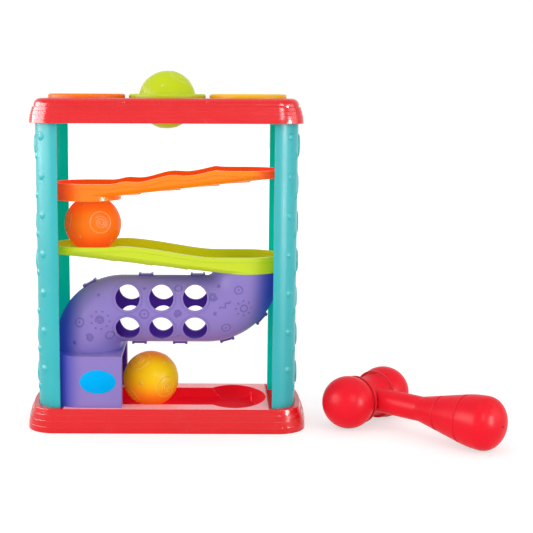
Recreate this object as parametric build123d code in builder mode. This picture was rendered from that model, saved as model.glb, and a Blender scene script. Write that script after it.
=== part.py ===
from build123d import *
import math
import os

os.makedirs("parts", exist_ok=True)

# Ball pounding bench with its mallet, in millimetres.
# X runs along the bench to the right, Y to the back and Z up.
# The origin is on the floor, under the middle of the base tray.

# Clearances
seat_gap = 0.3
rolling_gap = 0.3
thread_gap = 0.1
shelf_gap = 0.5
overrun = 1

# Balls
ball_diameter = 60
ball_wall = 2
ball_radius = ball_diameter / 2

# Layout of the three ball holes, which the drop holes line up with
hole_pitch = 83.5

# Skirts of the base tray and the top deck
skirt_curve = 1.8
skirt_ledge_share = 0.4

# Base tray
base_end_margin = 11.1
base_side_margin = 8.5
base_height = 25
base_wall = 2.5
base_flare = 6.8
base_side_flare = 3.6
base_steps = 4
base_bow = 7
base_corner = 30
base_rim_round = 1
base_rib = 2.2
base_rib_pitch = 54
base_rib_rows = 4

# Ball track and finger dish in the base
track_depth = 11
track_half_top = 36
track_half_floor = 31
track_floor_round = 4
dish_centre = 71
dish_half_length = 34.5
dish_margin = 1
dish_crown = 20
dish_reach = 20
dish_sink = 0.4
dish_seat_radius = 33
deflector_radius = 36
deflector_sweep = 60

# Side panels
panel_setback = 25.8
panel_width = 26.4
panel_half_depth = 50
panel_bow = 7
panel_corner = 25
panel_edge_round = 1
panel_wall = 2.5
panel_height = 305
panel_pocket_depth = 5
panel_pocket_margin = 2
shelf_thickness = 2.5
relief_height = 1.3
relief_dome = 8
relief_ring = 10
relief_tube = 3
relief_start = 34
relief_pitch = 40
relief_rows = 7
relief_turns = [20, 45]

# Top deck
deck_end_margin = 4.8
deck_side_margin = 8
deck_height = 24.7
deck_wall = 2.5
deck_cap_height = 8.5
deck_cap_round = 7
deck_cap_groove = 1
deck_steps = 4
deck_flare = 3.6
deck_side_flare = 3.6
deck_bow = 5
deck_corner = 26
deck_inner_draft = 14
deck_overlap = 7.7
deck_rib = 2.2
deck_hole_radius = 36

# Soft rings in the deck's holes
ring_radius = 39.75
ring_stand = 4.3
ring_round = 2.2
ring_mouth_radius = 35
ring_grip = 1.2
ring_lip_depth = 11
ring_lip_height = 1.5
ring_lip_skin = 1.9
ring_bead = 1.5
ring_bead_height = 1.8
ring_bead_chamfer = 1.3

# Screws
screw_radius = 1.5
screw_head_radius = 3.2
screw_head_height = 2.2
screw_length = 13
boss_radius = 4
panel_screw_inset = 10.7
panel_screw_margin = 24
box_screw_offset = 11.5
box_screw_margin = 7

# Pegs that hold the ramps' tabs
peg_radius = 2.5
peg_height = 3.8
tab_half_width = 16
tab_overhang = 4.2

# Ramps
ramp_wall = 2.5
ramp_end_radius = 37
ramp_dish_radius = 35
ramp_drop_gap = 2
ramp_keel_round = 13
ramp_lip_height = 4.5
ramp_lip_proud = 1.2
ramp_tooth_depth = 1.3
ramp_tooth_length = 28
ramp_tooth_half_length = 23

upper_slope = 6.5
upper_dish_bottom = 237.2
upper_dish_height = 17.8
upper_floor_sink = 13.7
upper_rim_rise = 14
upper_wave_shares = [
    (0.28, 0.0),
    (0.49, 0.2),
    (0.63, 0.17),
    (0.93, 0.55),
    (1.06, 0.69),
    (1.26, 0.66),
    (1.60, 1.05),
    (1.80, 1.0),
]
upper_tooth_shares = [0.68, 1.17, 1.65, 2.03]

lower_slope = 6.4
lower_dish_bottom = 162.4
lower_dish_height = 17.5
lower_floor_sink = 17.55
lower_rim_rise = 10.4
lower_wave_shares = [
    (0.17, 0.0),
    (0.48, 0.03),
    (0.78, 0.33),
    (1.08, 0.72),
    (1.36, 1.02),
    (1.56, 1.12),
    (1.83, 1.0),
]
lower_tooth_shares = [0.74, 1.18, 1.63]

# Tunnel
tunnel_radius = 35.5
tunnel_wall = 2.5
tunnel_height = 121
tunnel_left_bend = 36.5
window_radius = 12.65
window_pitch_x = 35
window_pitch_z = 32
window_columns = 3
window_rows = 2
window_start_x = 40.5
window_rim = 1.8
window_rim_proud = 0.9
clip_length = 15.5
clip_height = 1.7
clip_half_width = 5
clip_tongue = 0.8
clip_root = 1.5
clip_end_length = 2.4
clip_end_height = 0.8
clip_top_runs = [-22.6, 32.2]
clip_bottom_runs = [-29.9, 13.5]
clip_right_turns = [16, 48]
clip_left_turns = [29]

# Exit box
box_height = 54
box_wall = 2.5
box_reach = 34
box_front = 37.5
box_corner = 28
box_seat_depth = 1.5
box_seat_ledge = 1

# Mallet
mallet_wall = 2
mallet_x = 212
mallet_y = -10
mallet_turn = -44
mallet_ball_radius = 27.4
mallet_ball_spacing = 62
mallet_waist_radius = 20
mallet_collar_radius = 23
mallet_collar_start = 13
mallet_collar_step = 1.2
mallet_collar_width = 2.2
mallet_boss_radius = 10
mallet_boss_height = 2.5
mallet_neck_radius = 12.9
mallet_neck_length = 70
mallet_flare_length = 94
mallet_grip_radius = 25
mallet_grip_length = 122.6
mallet_butt_radius = 27.2
mallet_butt_length = 144
mallet_length = 164
mallet_groove = 1.8
mallet_vent_radius = 1.3
mallet_vent_depth = 1

# Where each ball stands at rest
green_ball_x = 0
orange_ball_x = -78.5
yellow_ball_x = -18

# Heights that follow
panel_mouth = hole_pitch + panel_setback
panel_reach = panel_mouth + panel_width
panel_screw_x = panel_reach - panel_screw_inset
panel_screw_y = panel_half_depth - panel_screw_margin
base_half_length = panel_reach + base_end_margin
base_half_depth = panel_half_depth + base_side_margin
base_length = 2 * base_half_length
base_depth = 2 * base_half_depth
base_inner_draft = math.degrees(math.atan2(base_flare, base_height))
track_floor_z = base_height - track_depth
pocket_floor_z = base_height - panel_pocket_depth
pocket_edge = panel_mouth - panel_pocket_margin
panel_top_z = pocket_floor_z + panel_height
deck_bottom_z = panel_top_z - deck_overlap
deck_top_z = deck_bottom_z + deck_height
deck_plate_z = deck_top_z - deck_wall
deck_half_length = panel_reach + deck_end_margin
deck_half_depth = panel_half_depth + deck_side_margin
dish_half_width = panel_half_depth - dish_margin
panel_bow_radius = (panel_half_depth**2 + panel_bow**2) / (2 * panel_bow)
panel_corner_y = panel_half_depth - panel_corner
panel_corner_x = (
    panel_reach - panel_bow_radius + math.sqrt((panel_bow_radius - panel_corner) ** 2 - panel_corner_y**2)
)
ring_top_z = deck_top_z + ring_stand
ring_lip_z = deck_top_z - ring_lip_depth
ring_lip_radius = ball_radius - ring_grip
pilot_radius = screw_radius + thread_gap
shelf_edge = hole_pitch + tunnel_radius + shelf_gap
box_top_z = base_height + box_height
box_half_depth = panel_half_depth
box_screw_x = hole_pitch + box_screw_offset
box_screw_y = box_half_depth - box_screw_margin
box_left = -hole_pitch - box_reach
box_right = -hole_pitch + box_front
box_seat_z = box_top_z - box_seat_depth
tunnel_right_bend = lower_dish_bottom - tunnel_height

# Where each ball's middle is at rest
upper_floor_at_dish = upper_dish_bottom + upper_dish_height - upper_floor_sink
lower_floor_at_dish = lower_dish_bottom + lower_dish_height - lower_floor_sink
orange_run = hole_pitch - orange_ball_x
orange_floor_z = lower_floor_at_dish + orange_run * math.tan(math.radians(lower_slope))
orange_lift = (ball_radius + rolling_gap) / math.cos(math.radians(lower_slope))
green_ball_z = ring_lip_z + math.sqrt((ball_radius + rolling_gap) ** 2 - ring_lip_radius**2)
orange_ball_z = orange_floor_z + orange_lift
yellow_ball_z = track_floor_z + ball_radius + rolling_gap


def bowed_plan(half_length, half_depth, bow, corner):
    """Plan of the base and the deck: straight long sides, bowed ends, round corners."""
    straight = half_length - bow
    with BuildSketch() as plan:
        with BuildLine():
            Line((-straight, -half_depth), (straight, -half_depth))
            ThreePointArc((straight, -half_depth), (half_length, 0), (straight, half_depth))
            Line((straight, half_depth), (-straight, half_depth))
            ThreePointArc((-straight, half_depth), (-half_length, 0), (-straight, -half_depth))
        make_face()
        fillet(plan.vertices(), radius=corner)
    return plan.sketch


def stepped_skirt(half_length, half_depth, bow, corner, bottom, height, steps, flare, side_flare):
    """A skirt that curves in towards its top over a few steps, each with a narrow ledge."""
    with BuildPart() as skirt:
        for step in range(steps):
            foot_share = (step / steps) ** skirt_curve
            next_share = ((step + 1) / steps) ** skirt_curve
            head_share = next_share - skirt_ledge_share * (next_share - foot_share)
            for level, share in ((step, foot_share), (step + 1, head_share)):
                inset = flare * share
                side_inset = side_flare * share
                with BuildSketch(Plane.XY.offset(bottom + height * level / steps)):
                    add(bowed_plan(half_length - inset, half_depth - side_inset, bow, corner - inset))
            loft(ruled=True)
    return skirt.part


def channel_plan(side, inset, mouth):
    """Plan of a side panel's outside, cut straight across at its mouth."""
    reach = panel_reach - inset
    depth = panel_half_depth - inset
    shoulder = reach - panel_bow
    with BuildSketch() as plan:
        with BuildLine():
            Line((0, -depth), (side * shoulder, -depth))
            ThreePointArc((side * shoulder, -depth), (side * reach, 0), (side * shoulder, depth))
            Line((side * shoulder, depth), (0, depth))
            Line((0, depth), (0, -depth))
        make_face()
        outer = plan.vertices().sort_by(lambda corner: abs(corner.X))[-2:]
        fillet(outer, radius=panel_corner - inset)
        Rectangle(2 * mouth, 2 * (depth + overrun), mode=Mode.SUBTRACT)
    return plan.sketch


def box_plan(inset):
    """Plan of the exit box, round at its two left corners."""
    length = box_right - box_left - 2 * inset
    depth = 2 * (box_half_depth - inset)
    with BuildSketch() as plan:
        with Locations(((box_left + box_right) / 2, 0)):
            Rectangle(length, depth)
        fillet(plan.vertices().group_by(Axis.X)[0], radius=box_corner - inset)
    return plan.sketch


# Hollow under the base, between its ribs, pocket floors, track and dish
track_length = dish_centre - box_left - box_wall
track_middle = dish_centre - track_length / 2
with BuildPart() as base_hollow:
    with BuildSketch(Plane.XY):
        add(
            bowed_plan(
                base_half_length - base_wall, base_half_depth - base_wall, base_bow, base_corner - base_wall
            )
        )
    extrude(amount=base_height - base_wall, taper=base_inner_draft)
    with BuildSketch(Plane.XY):
        Rectangle(base_length, base_rib)
        with GridLocations(base_rib_pitch, 0, base_rib_rows + 1, 1):
            Rectangle(base_rib, base_depth)
    extrude(amount=base_height, mode=Mode.SUBTRACT)
    with BuildSketch(Plane.XY.offset(track_floor_z - base_wall)):
        with Locations((track_middle, 0)):
            Rectangle(track_length + 2 * base_wall, 2 * (track_half_top + base_wall))
        with Locations((dish_centre, 0)):
            Ellipse(dish_half_length + base_wall, dish_half_width + base_wall)
    extrude(amount=track_depth + base_wall, mode=Mode.SUBTRACT)
    with BuildSketch(Plane.XY.offset(pocket_floor_z - base_wall)):
        pocket_middle = pocket_edge - base_wall + base_length / 2
        with Locations((-pocket_middle, 0), (pocket_middle, 0)):
            Rectangle(base_length, base_depth)
    extrude(amount=panel_pocket_depth + base_wall, mode=Mode.SUBTRACT)

# Barrel-shaped cutter for the finger dish, cut off flat at the track's floor
dish_roll = (dish_half_length**2 / dish_crown + dish_crown) / 2
with BuildPart() as dish_cutter:
    with BuildSketch(Plane.XY.offset(base_height + dish_roll - dish_crown)):
        with BuildLine():
            ThreePointArc(
                (dish_centre + dish_roll - dish_crown, -dish_half_width),
                (dish_centre + dish_roll, 0),
                (dish_centre + dish_roll - dish_crown, dish_half_width),
            )
            Line(
                (dish_centre + dish_roll - dish_crown, dish_half_width),
                (dish_centre, dish_half_width),
            )
            Line((dish_centre, dish_half_width), (dish_centre, -dish_half_width))
            Line(
                (dish_centre, -dish_half_width),
                (dish_centre + dish_roll - dish_crown, -dish_half_width),
            )
        make_face()
    revolve(axis=Axis((dish_centre, 0, base_height + dish_roll - dish_crown), (0, 1, 0)))
    with BuildSketch(Plane.XY.offset(track_floor_z)):
        with Locations((dish_centre, 0)):
            Rectangle(4 * dish_roll, 4 * dish_half_width)
    extrude(amount=4 * dish_roll, mode=Mode.INTERSECT)
    with Locations((dish_centre, 0, track_floor_z - 2 * dish_sink + dish_seat_radius)):
        Sphere(dish_seat_radius)

# Base tray
with BuildPart() as base_tray:
    add(
        stepped_skirt(
            base_half_length,
            base_half_depth,
            base_bow,
            base_corner,
            0,
            base_height,
            base_steps,
            base_flare,
            base_side_flare,
        )
    )
    fillet(base_tray.faces().sort_by(Axis.Z)[-1].edges(), radius=base_rim_round)
    add(base_hollow.part, mode=Mode.SUBTRACT)
    for side in (-1, 1):
        with BuildSketch(Plane.XY.offset(pocket_floor_z)):
            add(channel_plan(side, -seat_gap, pocket_edge))
        extrude(amount=panel_pocket_depth + overrun, mode=Mode.SUBTRACT)
    with BuildSketch(Plane.YZ.offset(dish_centre - track_length)) as track_section:
        with BuildLine():
            Polyline(
                (-track_half_top, base_height),
                (-track_half_floor, track_floor_z),
                (track_half_floor, track_floor_z),
                (track_half_top, base_height),
                close=True,
            )
        make_face()
        fillet(track_section.vertices().group_by(Axis.Y)[0], radius=track_floor_round)
    extrude(amount=track_length + dish_reach, mode=Mode.SUBTRACT)
    add(dish_cutter.part, mode=Mode.SUBTRACT)
    deflector_start = box_left + box_wall + deflector_radius
    deflector_back = box_left + box_wall + seat_gap
    deflector_angle = math.radians(deflector_sweep)
    deflector_x = deflector_start - deflector_radius * math.sin(deflector_angle)
    deflector_z = track_floor_z + deflector_radius * (1 - math.cos(deflector_angle))
    with BuildSketch(Plane.XZ):
        with BuildLine():
            RadiusArc((deflector_start, track_floor_z), (deflector_x, deflector_z), deflector_radius)
            Line((deflector_x, deflector_z), (deflector_back, deflector_z))
            Line((deflector_back, deflector_z), (deflector_back, track_floor_z))
            Line((deflector_back, track_floor_z), (deflector_start, track_floor_z))
        make_face()
    extrude(amount=box_half_depth - box_corner - overrun, both=True)
    with Locations(Plane.XY.offset(pocket_floor_z)):
        with GridLocations(2 * panel_screw_x, 2 * panel_screw_y, 2, 2):
            Hole(pilot_radius, depth=base_height)
    with Locations((-box_screw_x, -box_screw_y, base_height), (-box_screw_x, box_screw_y, base_height)):
        Hole(pilot_radius, depth=base_wall)
base_tray.part.label = "base_tray"
export_step(base_tray.part, "parts/base_tray.step")


def ramp_floor_z(floor_at_dish, slope, run):
    """Height of a ramp's floor at a distance from the middle of its drop hole."""
    return floor_at_dish + run * math.tan(math.radians(slope))


def ramp_seat_z(floor_at_dish, slope):
    """Height of the shelf that carries a ramp's far end."""
    run = hole_pitch + shelf_edge
    return ramp_floor_z(floor_at_dish, slope, run) - ramp_wall / math.cos(math.radians(slope))


upper_seat_z = ramp_seat_z(upper_floor_at_dish, upper_slope)
lower_seat_z = ramp_seat_z(lower_floor_at_dish, lower_slope)


def relief_spots(side):
    """Middles of the spheres and rings that stand out of a side panel's outside."""
    corner_reach = panel_corner + relief_height - relief_dome
    domes = []
    rings = []
    for row in range(relief_rows):
        height = pocket_floor_z + relief_start + row * relief_pitch
        shift = (row % 3 - 1) * relief_ring / 2
        domes.append((side * (panel_reach + relief_height - relief_dome), shift, height))
        rings.append((side * (panel_reach + relief_height - relief_tube), shift, height))
        for edge in (-1, 1):
            for step, turn in enumerate(relief_turns):
                across = side * (panel_corner_x + corner_reach * math.cos(math.radians(turn)))
                along = edge * (panel_corner_y + corner_reach * math.sin(math.radians(turn)))
                domes.append((across, along, height + (step - 1 / 2) * relief_pitch / 2))
    return domes, rings


def side_panel(side, seats):
    """A side panel: an open channel closed by shelves, with a peg on each ramp's shelf."""
    with BuildPart() as panel:
        with BuildSketch(Plane.XY.offset(pocket_floor_z)) as outline:
            add(channel_plan(side, 0, panel_mouth))
            mouth = outline.vertices().sort_by(lambda corner: abs(corner.X))[:2]
            fillet(mouth, radius=panel_edge_round)
        extrude(amount=panel_height)
        domes, rings = relief_spots(side)
        with Locations(*domes):
            Sphere(relief_dome)
        with Locations(*[Plane(origin=spot, x_dir=(0, 1, 0), z_dir=(side, 0, 0)) for spot in rings]):
            Torus(relief_ring, relief_tube)
        with BuildSketch(Plane.XY.offset(pocket_floor_z)):
            add(channel_plan(side, panel_wall, panel_mouth - overrun))
        extrude(amount=panel_height, mode=Mode.SUBTRACT)
        for shelf_top in (pocket_floor_z + shelf_thickness, panel_top_z, *seats):
            with BuildSketch(Plane.XY.offset(shelf_top - shelf_thickness)):
                add(channel_plan(side, panel_wall / 2, shelf_edge))
            extrude(amount=shelf_thickness)
        for seat in seats:
            with BuildSketch(Plane.XY.offset(seat)):
                with Locations((side * panel_screw_x, 0)):
                    Circle(peg_radius)
            extrude(amount=peg_height)
        with BuildSketch(Plane.XY.offset(pocket_floor_z + shelf_thickness)):
            with Locations((side * panel_screw_x, -panel_screw_y), (side * panel_screw_x, panel_screw_y)):
                Circle(boss_radius)
        extrude(amount=screw_length - shelf_thickness)
        with BuildSketch(Plane.XY.offset(pocket_floor_z)):
            with Locations((side * panel_screw_x, -panel_screw_y), (side * panel_screw_x, panel_screw_y)):
                Circle(pilot_radius)
        extrude(amount=panel_height, mode=Mode.SUBTRACT)
    return panel


# Side panels, each with the shelves that its own ramp ends need
left_side_panel = side_panel(-1, (upper_dish_bottom, lower_seat_z))
left_side_panel.part.label = "left_side_panel"
export_step(left_side_panel.part, "parts/left_side_panel.step")

right_side_panel = side_panel(1, (upper_seat_z, lower_dish_bottom))
right_side_panel.part.label = "right_side_panel"
export_step(right_side_panel.part, "parts/right_side_panel.step")

# Top deck
with BuildPart() as top_deck:
    add(
        stepped_skirt(
            deck_half_length,
            deck_half_depth,
            deck_bow,
            deck_corner,
            deck_bottom_z,
            deck_height - deck_cap_height,
            deck_steps,
            deck_flare,
            deck_side_flare,
        )
    )
    cap_inset = deck_flare + deck_cap_groove
    with BuildSketch(Plane.XY.offset(deck_top_z - deck_cap_height)):
        add(
            bowed_plan(
                deck_half_length - cap_inset,
                deck_half_depth - deck_side_flare - deck_cap_groove,
                deck_bow,
                deck_corner - cap_inset,
            )
        )
    extrude(amount=deck_cap_height)
    fillet(top_deck.faces().sort_by(Axis.Z)[-1].edges(), radius=deck_cap_round)
    with BuildSketch(Plane.XY.offset(deck_bottom_z)):
        add(
            bowed_plan(
                deck_half_length - deck_wall, deck_half_depth - deck_wall, deck_bow, deck_corner - deck_wall
            )
        )
    extrude(amount=deck_height - deck_wall, taper=deck_inner_draft, mode=Mode.SUBTRACT)
    with BuildSketch(Plane.XY.offset(panel_top_z)):
        with GridLocations(2 * panel_screw_x, 2 * panel_screw_y, 2, 2):
            Circle(boss_radius)
        with GridLocations(hole_pitch, 0, 2, 1):
            Rectangle(deck_rib, 2 * (deck_half_depth - 2 * deck_wall))
    extrude(amount=deck_plate_z - panel_top_z)
    with BuildSketch(Plane.XY.offset(panel_top_z)):
        with GridLocations(2 * panel_screw_x, 2 * panel_screw_y, 2, 2):
            Circle(pilot_radius)
    extrude(amount=deck_plate_z - panel_top_z, mode=Mode.SUBTRACT)
    with BuildSketch(Plane.XY.offset(deck_plate_z)):
        with GridLocations(hole_pitch, 0, 3, 1):
            Circle(deck_hole_radius)
    extrude(amount=deck_wall, mode=Mode.SUBTRACT)
top_deck.part.label = "top_deck"
export_step(top_deck.part, "parts/top_deck.step")


def hole_ring(centre):
    """A soft collar: a flange on the deck, a bead under it and a funnel to the gripping lip."""
    body_radius = deck_hole_radius - seat_gap
    bead_radius = deck_hole_radius + ring_bead
    bead_top = deck_plate_z - seat_gap
    bead_bottom = bead_top - ring_bead_height
    lip_bottom = ring_lip_z - ring_lip_height
    with BuildPart() as ring:
        with BuildSketch(Plane.XZ.shift_origin((centre, 0, 0))) as section:
            with BuildLine():
                Polyline(
                    (ring_radius, deck_top_z),
                    (ring_radius, ring_top_z),
                    (ring_mouth_radius, ring_top_z),
                    (ring_lip_radius, ring_lip_z),
                    (ring_lip_radius, lip_bottom),
                    (ring_lip_radius + ring_lip_skin, lip_bottom),
                    (body_radius - ring_bead_chamfer, bead_bottom - ring_bead_chamfer),
                    (bead_radius, bead_bottom),
                    (bead_radius, bead_top),
                    (body_radius, bead_top),
                    (body_radius, deck_top_z),
                    close=True,
                )
            make_face()
            fillet(section.vertices().group_by(Axis.Y)[-1], radius=ring_round)
        revolve(axis=Axis((centre, 0, 0), (0, 0, 1)))
    return ring


# Soft rings
left_hole_ring = hole_ring(-hole_pitch)
left_hole_ring.part.label = "left_hole_ring"
export_step(left_hole_ring.part, "parts/left_hole_ring.step")

middle_hole_ring = hole_ring(0)
middle_hole_ring.part.label = "middle_hole_ring"
export_step(middle_hole_ring.part, "parts/middle_hole_ring.step")

right_hole_ring = hole_ring(hole_pitch)
right_hole_ring.part.label = "right_hole_ring"
export_step(right_hole_ring.part, "parts/right_hole_ring.step")


def trough_form(side, slope, floor_at_dish, lowest, inset):
    """Solid bounded by a ramp's skin, or by the inside of its skin when inset."""
    angle = math.radians(slope)
    bottom = floor_at_dish - (ramp_wall - inset) / math.cos(angle)
    width = 2 * (ramp_end_radius + ramp_lip_proud - inset)
    height = 2 * ramp_end_radius
    along = Vector(-side * math.cos(angle), 0, math.sin(angle))
    start = Vector(side * hole_pitch, 0, bottom) - along * (2 * ramp_dish_radius)
    with BuildPart() as form:
        with BuildSketch(Plane.XY.offset(lowest)):
            with Locations((side * hole_pitch, 0)):
                Circle(ramp_dish_radius - inset)
            with Locations((-side * hole_pitch, 0)):
                Circle(ramp_end_radius - inset)
            make_hull()
        extrude(amount=height)
        with BuildSketch(Plane(origin=start, x_dir=(0, -side, 0), z_dir=along)) as section:
            with Locations((0, height / 2)):
                Rectangle(width, height)
            fillet(section.vertices().group_by(Axis.Y)[0], radius=ramp_keel_round - inset)
        extrude(amount=2 * (hole_pitch + 2 * ramp_end_radius), mode=Mode.INTERSECT)
    return form.part


def rim_face(side, rim_at_dish, rise, wave_shares, drop, top):
    """Side view of what lies above a ramp's wavy rim, up to a height above the dish."""
    near = -ramp_dish_radius - 2 * overrun
    far = 2 * hole_pitch + ramp_end_radius + 2 * overrun
    points = [(x_share * hole_pitch, rim_at_dish + share * rise - drop) for x_share, share in wave_shares]
    dish_side = Plane(origin=(side * hole_pitch, 0, 0), x_dir=(-side, 0, 0), z_dir=(0, side, 0))
    with BuildSketch(dish_side) as face:
        with BuildLine():
            Line((near, points[0][1]), points[0])
            Spline(*points, tangents=[(1, 0), (1, 0)])
            Line(points[-1], (far, points[-1][1]))
            Line((far, points[-1][1]), (far, rim_at_dish + top))
            Line((far, rim_at_dish + top), (near, rim_at_dish + top))
            Line((near, rim_at_dish + top), (near, points[0][1]))
        make_face()
    return face.sketch


def trough_ramp(side, slope, dish_bottom, dish_height, floor_at_dish, rise, wave_shares, tooth_shares):
    """A trough between two panels: drop hole and dish on one side, closed round end on the other."""
    rim_at_dish = dish_bottom + dish_height
    sky = 2 * ramp_end_radius
    angle = math.radians(slope)
    with BuildPart() as lip:
        with BuildSketch(Plane.XY.offset(dish_bottom)):
            with Locations((side * hole_pitch, 0)):
                Circle(ramp_dish_radius + ramp_lip_proud)
            with Locations((-side * hole_pitch, 0)):
                Circle(ramp_end_radius + ramp_lip_proud)
            make_hull()
        extrude(amount=sky)
        extrude(
            rim_face(side, rim_at_dish, rise, wave_shares, ramp_lip_height, sky),
            amount=2 * ramp_end_radius,
            both=True,
            mode=Mode.INTERSECT,
        )
    with BuildPart() as ramp:
        add(trough_form(side, slope, floor_at_dish, dish_bottom, 0))
        add(lip.part)
        with BuildSketch(Plane.XY.offset(dish_bottom)):
            with Locations((side * hole_pitch, 0)):
                Circle(ramp_dish_radius)
        extrude(amount=dish_height)
        extrude(
            rim_face(side, rim_at_dish, rise, wave_shares, 0, 2 * sky),
            amount=2 * ramp_end_radius,
            both=True,
            mode=Mode.SUBTRACT,
        )
        for share in tooth_shares:
            tip_run = share * hole_pitch
            root_run = tip_run + side * ramp_tooth_length
            tip_z = ramp_floor_z(floor_at_dish, slope, tip_run) - ramp_wall
            root_z = ramp_floor_z(floor_at_dish, slope, root_run) - ramp_wall
            tip_x = side * (hole_pitch - tip_run)
            root_x = tip_x - ramp_tooth_length
            with BuildSketch(Plane.XZ):
                with BuildLine():
                    Polyline(
                        (root_x, root_z),
                        (tip_x, tip_z - ramp_tooth_depth),
                        (tip_x, tip_z + ramp_wall / 2),
                        (root_x, root_z + ramp_wall / 2),
                        close=True,
                    )
                make_face()
            extrude(amount=ramp_tooth_half_length, both=True)
        for end, bottom in ((side, dish_bottom), (-side, ramp_seat_z(floor_at_dish, slope))):
            inner = hole_pitch + ramp_dish_radius - ramp_wall
            outer = panel_screw_x + tab_overhang
            with BuildSketch(Plane.XY.offset(bottom)):
                with Locations((end * (inner + outer) / 2, 0)):
                    Rectangle(outer - inner, 2 * tab_half_width)
            extrude(amount=ramp_wall)
        add(
            trough_form(side, slope, floor_at_dish, dish_bottom + ramp_wall, ramp_wall),
            mode=Mode.SUBTRACT,
        )
        with BuildSketch(Plane.XY.offset(dish_bottom - overrun)):
            with Locations((side * hole_pitch, 0)):
                Circle(ball_radius + ramp_drop_gap)
        extrude(amount=dish_height + 2 * overrun, mode=Mode.SUBTRACT)
        with BuildSketch(Plane.XY.offset(dish_bottom - overrun)):
            with Locations((-panel_screw_x, 0), (panel_screw_x, 0)):
                Circle(peg_radius + seat_gap)
        extrude(amount=sky, mode=Mode.SUBTRACT)
    return ramp


# Ramps
upper_ramp = trough_ramp(
    -1,
    upper_slope,
    upper_dish_bottom,
    upper_dish_height,
    upper_floor_at_dish,
    upper_rim_rise,
    upper_wave_shares,
    upper_tooth_shares,
)
upper_ramp.part.label = "upper_ramp"
export_step(upper_ramp.part, "parts/upper_ramp.step")

lower_ramp = trough_ramp(
    1,
    lower_slope,
    lower_dish_bottom,
    lower_dish_height,
    lower_floor_at_dish,
    lower_rim_rise,
    lower_wave_shares,
    lower_tooth_shares,
)
lower_ramp.part.label = "lower_ramp"
export_step(lower_ramp.part, "parts/lower_ramp.step")

# Middle line of the tunnel, from under the lower ramp's drop hole down into the exit box
left_bend_x = tunnel_left_bend - hole_pitch
left_bend_z = tunnel_height - tunnel_left_bend
right_bend_x = hole_pitch - tunnel_right_bend
with BuildLine(Plane.XZ) as tunnel_route:
    JernArc((hole_pitch, lower_dish_bottom), (0, -1), tunnel_right_bend, -90)
    Line((right_bend_x, tunnel_height), (left_bend_x, tunnel_height))
    JernArc((left_bend_x, tunnel_height), (-1, 0), tunnel_left_bend, 90)
    Line((-hole_pitch, left_bend_z), (-hole_pitch, box_seat_z))


def tunnel_form(radius):
    """A round bar along the tunnel's middle line."""
    with BuildPart() as form:
        with BuildSketch(Plane.XY.offset(lower_dish_bottom)):
            with Locations((hole_pitch, 0)):
                Circle(radius)
        sweep(path=tunnel_route.wire())
    return form.part


# Raised rims round the tunnel's windows
window_middle_x = window_start_x - window_pitch_x * (window_columns - 1) / 2
with BuildPart() as window_rims:
    add(tunnel_form(tunnel_radius + window_rim_proud))
    with BuildSketch(Plane.XZ):
        with Locations((-window_middle_x, tunnel_height)):
            with GridLocations(window_pitch_x, window_pitch_z, window_columns, window_rows):
                Circle(window_radius + window_rim)
    extrude(amount=2 * tunnel_radius, both=True, mode=Mode.INTERSECT)

# Places of the clips on the tunnel's seam: a point, and the way that the clip stands up
outer_right = tunnel_right_bend + tunnel_radius
outer_left = tunnel_left_bend + tunnel_radius
clip_spots = []
for run in clip_top_runs:
    clip_spots.append((run, tunnel_height + tunnel_radius, 0, 1))
for run in clip_bottom_runs:
    clip_spots.append((run, tunnel_height - tunnel_radius, 0, -1))
for turn in clip_right_turns:
    across = math.sin(math.radians(turn))
    down = -math.cos(math.radians(turn))
    spot_x = right_bend_x + outer_right * across
    spot_z = lower_dish_bottom + outer_right * down
    clip_spots.append((spot_x, spot_z, across, down))
for turn in clip_left_turns:
    across = -math.sin(math.radians(turn))
    upward = math.cos(math.radians(turn))
    spot_x = left_bend_x + outer_left * across
    spot_z = left_bend_z + outer_left * upward
    clip_spots.append((spot_x, spot_z, across, upward))


def tunnel_shell(side):
    """Half of the tunnel, with its windows and its half of each clip."""
    with BuildPart() as shell:
        add(tunnel_form(tunnel_radius))
        add(window_rims.part)
        for spot_x, spot_z, way_x, way_z in clip_spots:
            stand = Plane(origin=(spot_x, 0, spot_z), x_dir=(way_z, 0, -way_x), z_dir=(way_x, 0, way_z))
            height = clip_height if side < 0 else clip_height - clip_tongue - seat_gap
            with BuildSketch(stand.offset(-clip_root)):
                Rectangle(clip_length, 2 * clip_half_width)
            extrude(amount=clip_root + height)
        split(bisect_by=Plane.XZ, keep=Keep.TOP if side < 0 else Keep.BOTTOM)
        if side < 0:
            for spot_x, spot_z, way_x, way_z in clip_spots:
                stand = Plane(origin=(spot_x, 0, spot_z), x_dir=(way_z, 0, -way_x), z_dir=(way_x, 0, way_z))
                with BuildSketch(stand.offset(clip_height - clip_tongue)):
                    Rectangle(clip_length, 2 * clip_half_width)
                extrude(amount=clip_tongue)
                with BuildSketch(stand.offset(clip_height)):
                    with GridLocations(clip_length - clip_end_length, 0, 2, 1):
                        Rectangle(clip_end_length, 2 * clip_half_width)
                extrude(amount=clip_end_height)
        add(tunnel_form(tunnel_radius - tunnel_wall), mode=Mode.SUBTRACT)
        with BuildSketch(Plane.XZ):
            with Locations((-window_middle_x, tunnel_height)):
                with GridLocations(window_pitch_x, window_pitch_z, window_columns, window_rows):
                    Circle(window_radius)
        extrude(amount=2 * tunnel_radius, both=True, mode=Mode.SUBTRACT)
    return shell


# Tunnel shells
tunnel_front_shell = tunnel_shell(-1)
tunnel_front_shell.part.label = "tunnel_front_shell"
export_step(tunnel_front_shell.part, "parts/tunnel_front_shell.step")

tunnel_rear_shell = tunnel_shell(1)
tunnel_rear_shell.part.label = "tunnel_rear_shell"
export_step(tunnel_rear_shell.part, "parts/tunnel_rear_shell.step")

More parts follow.
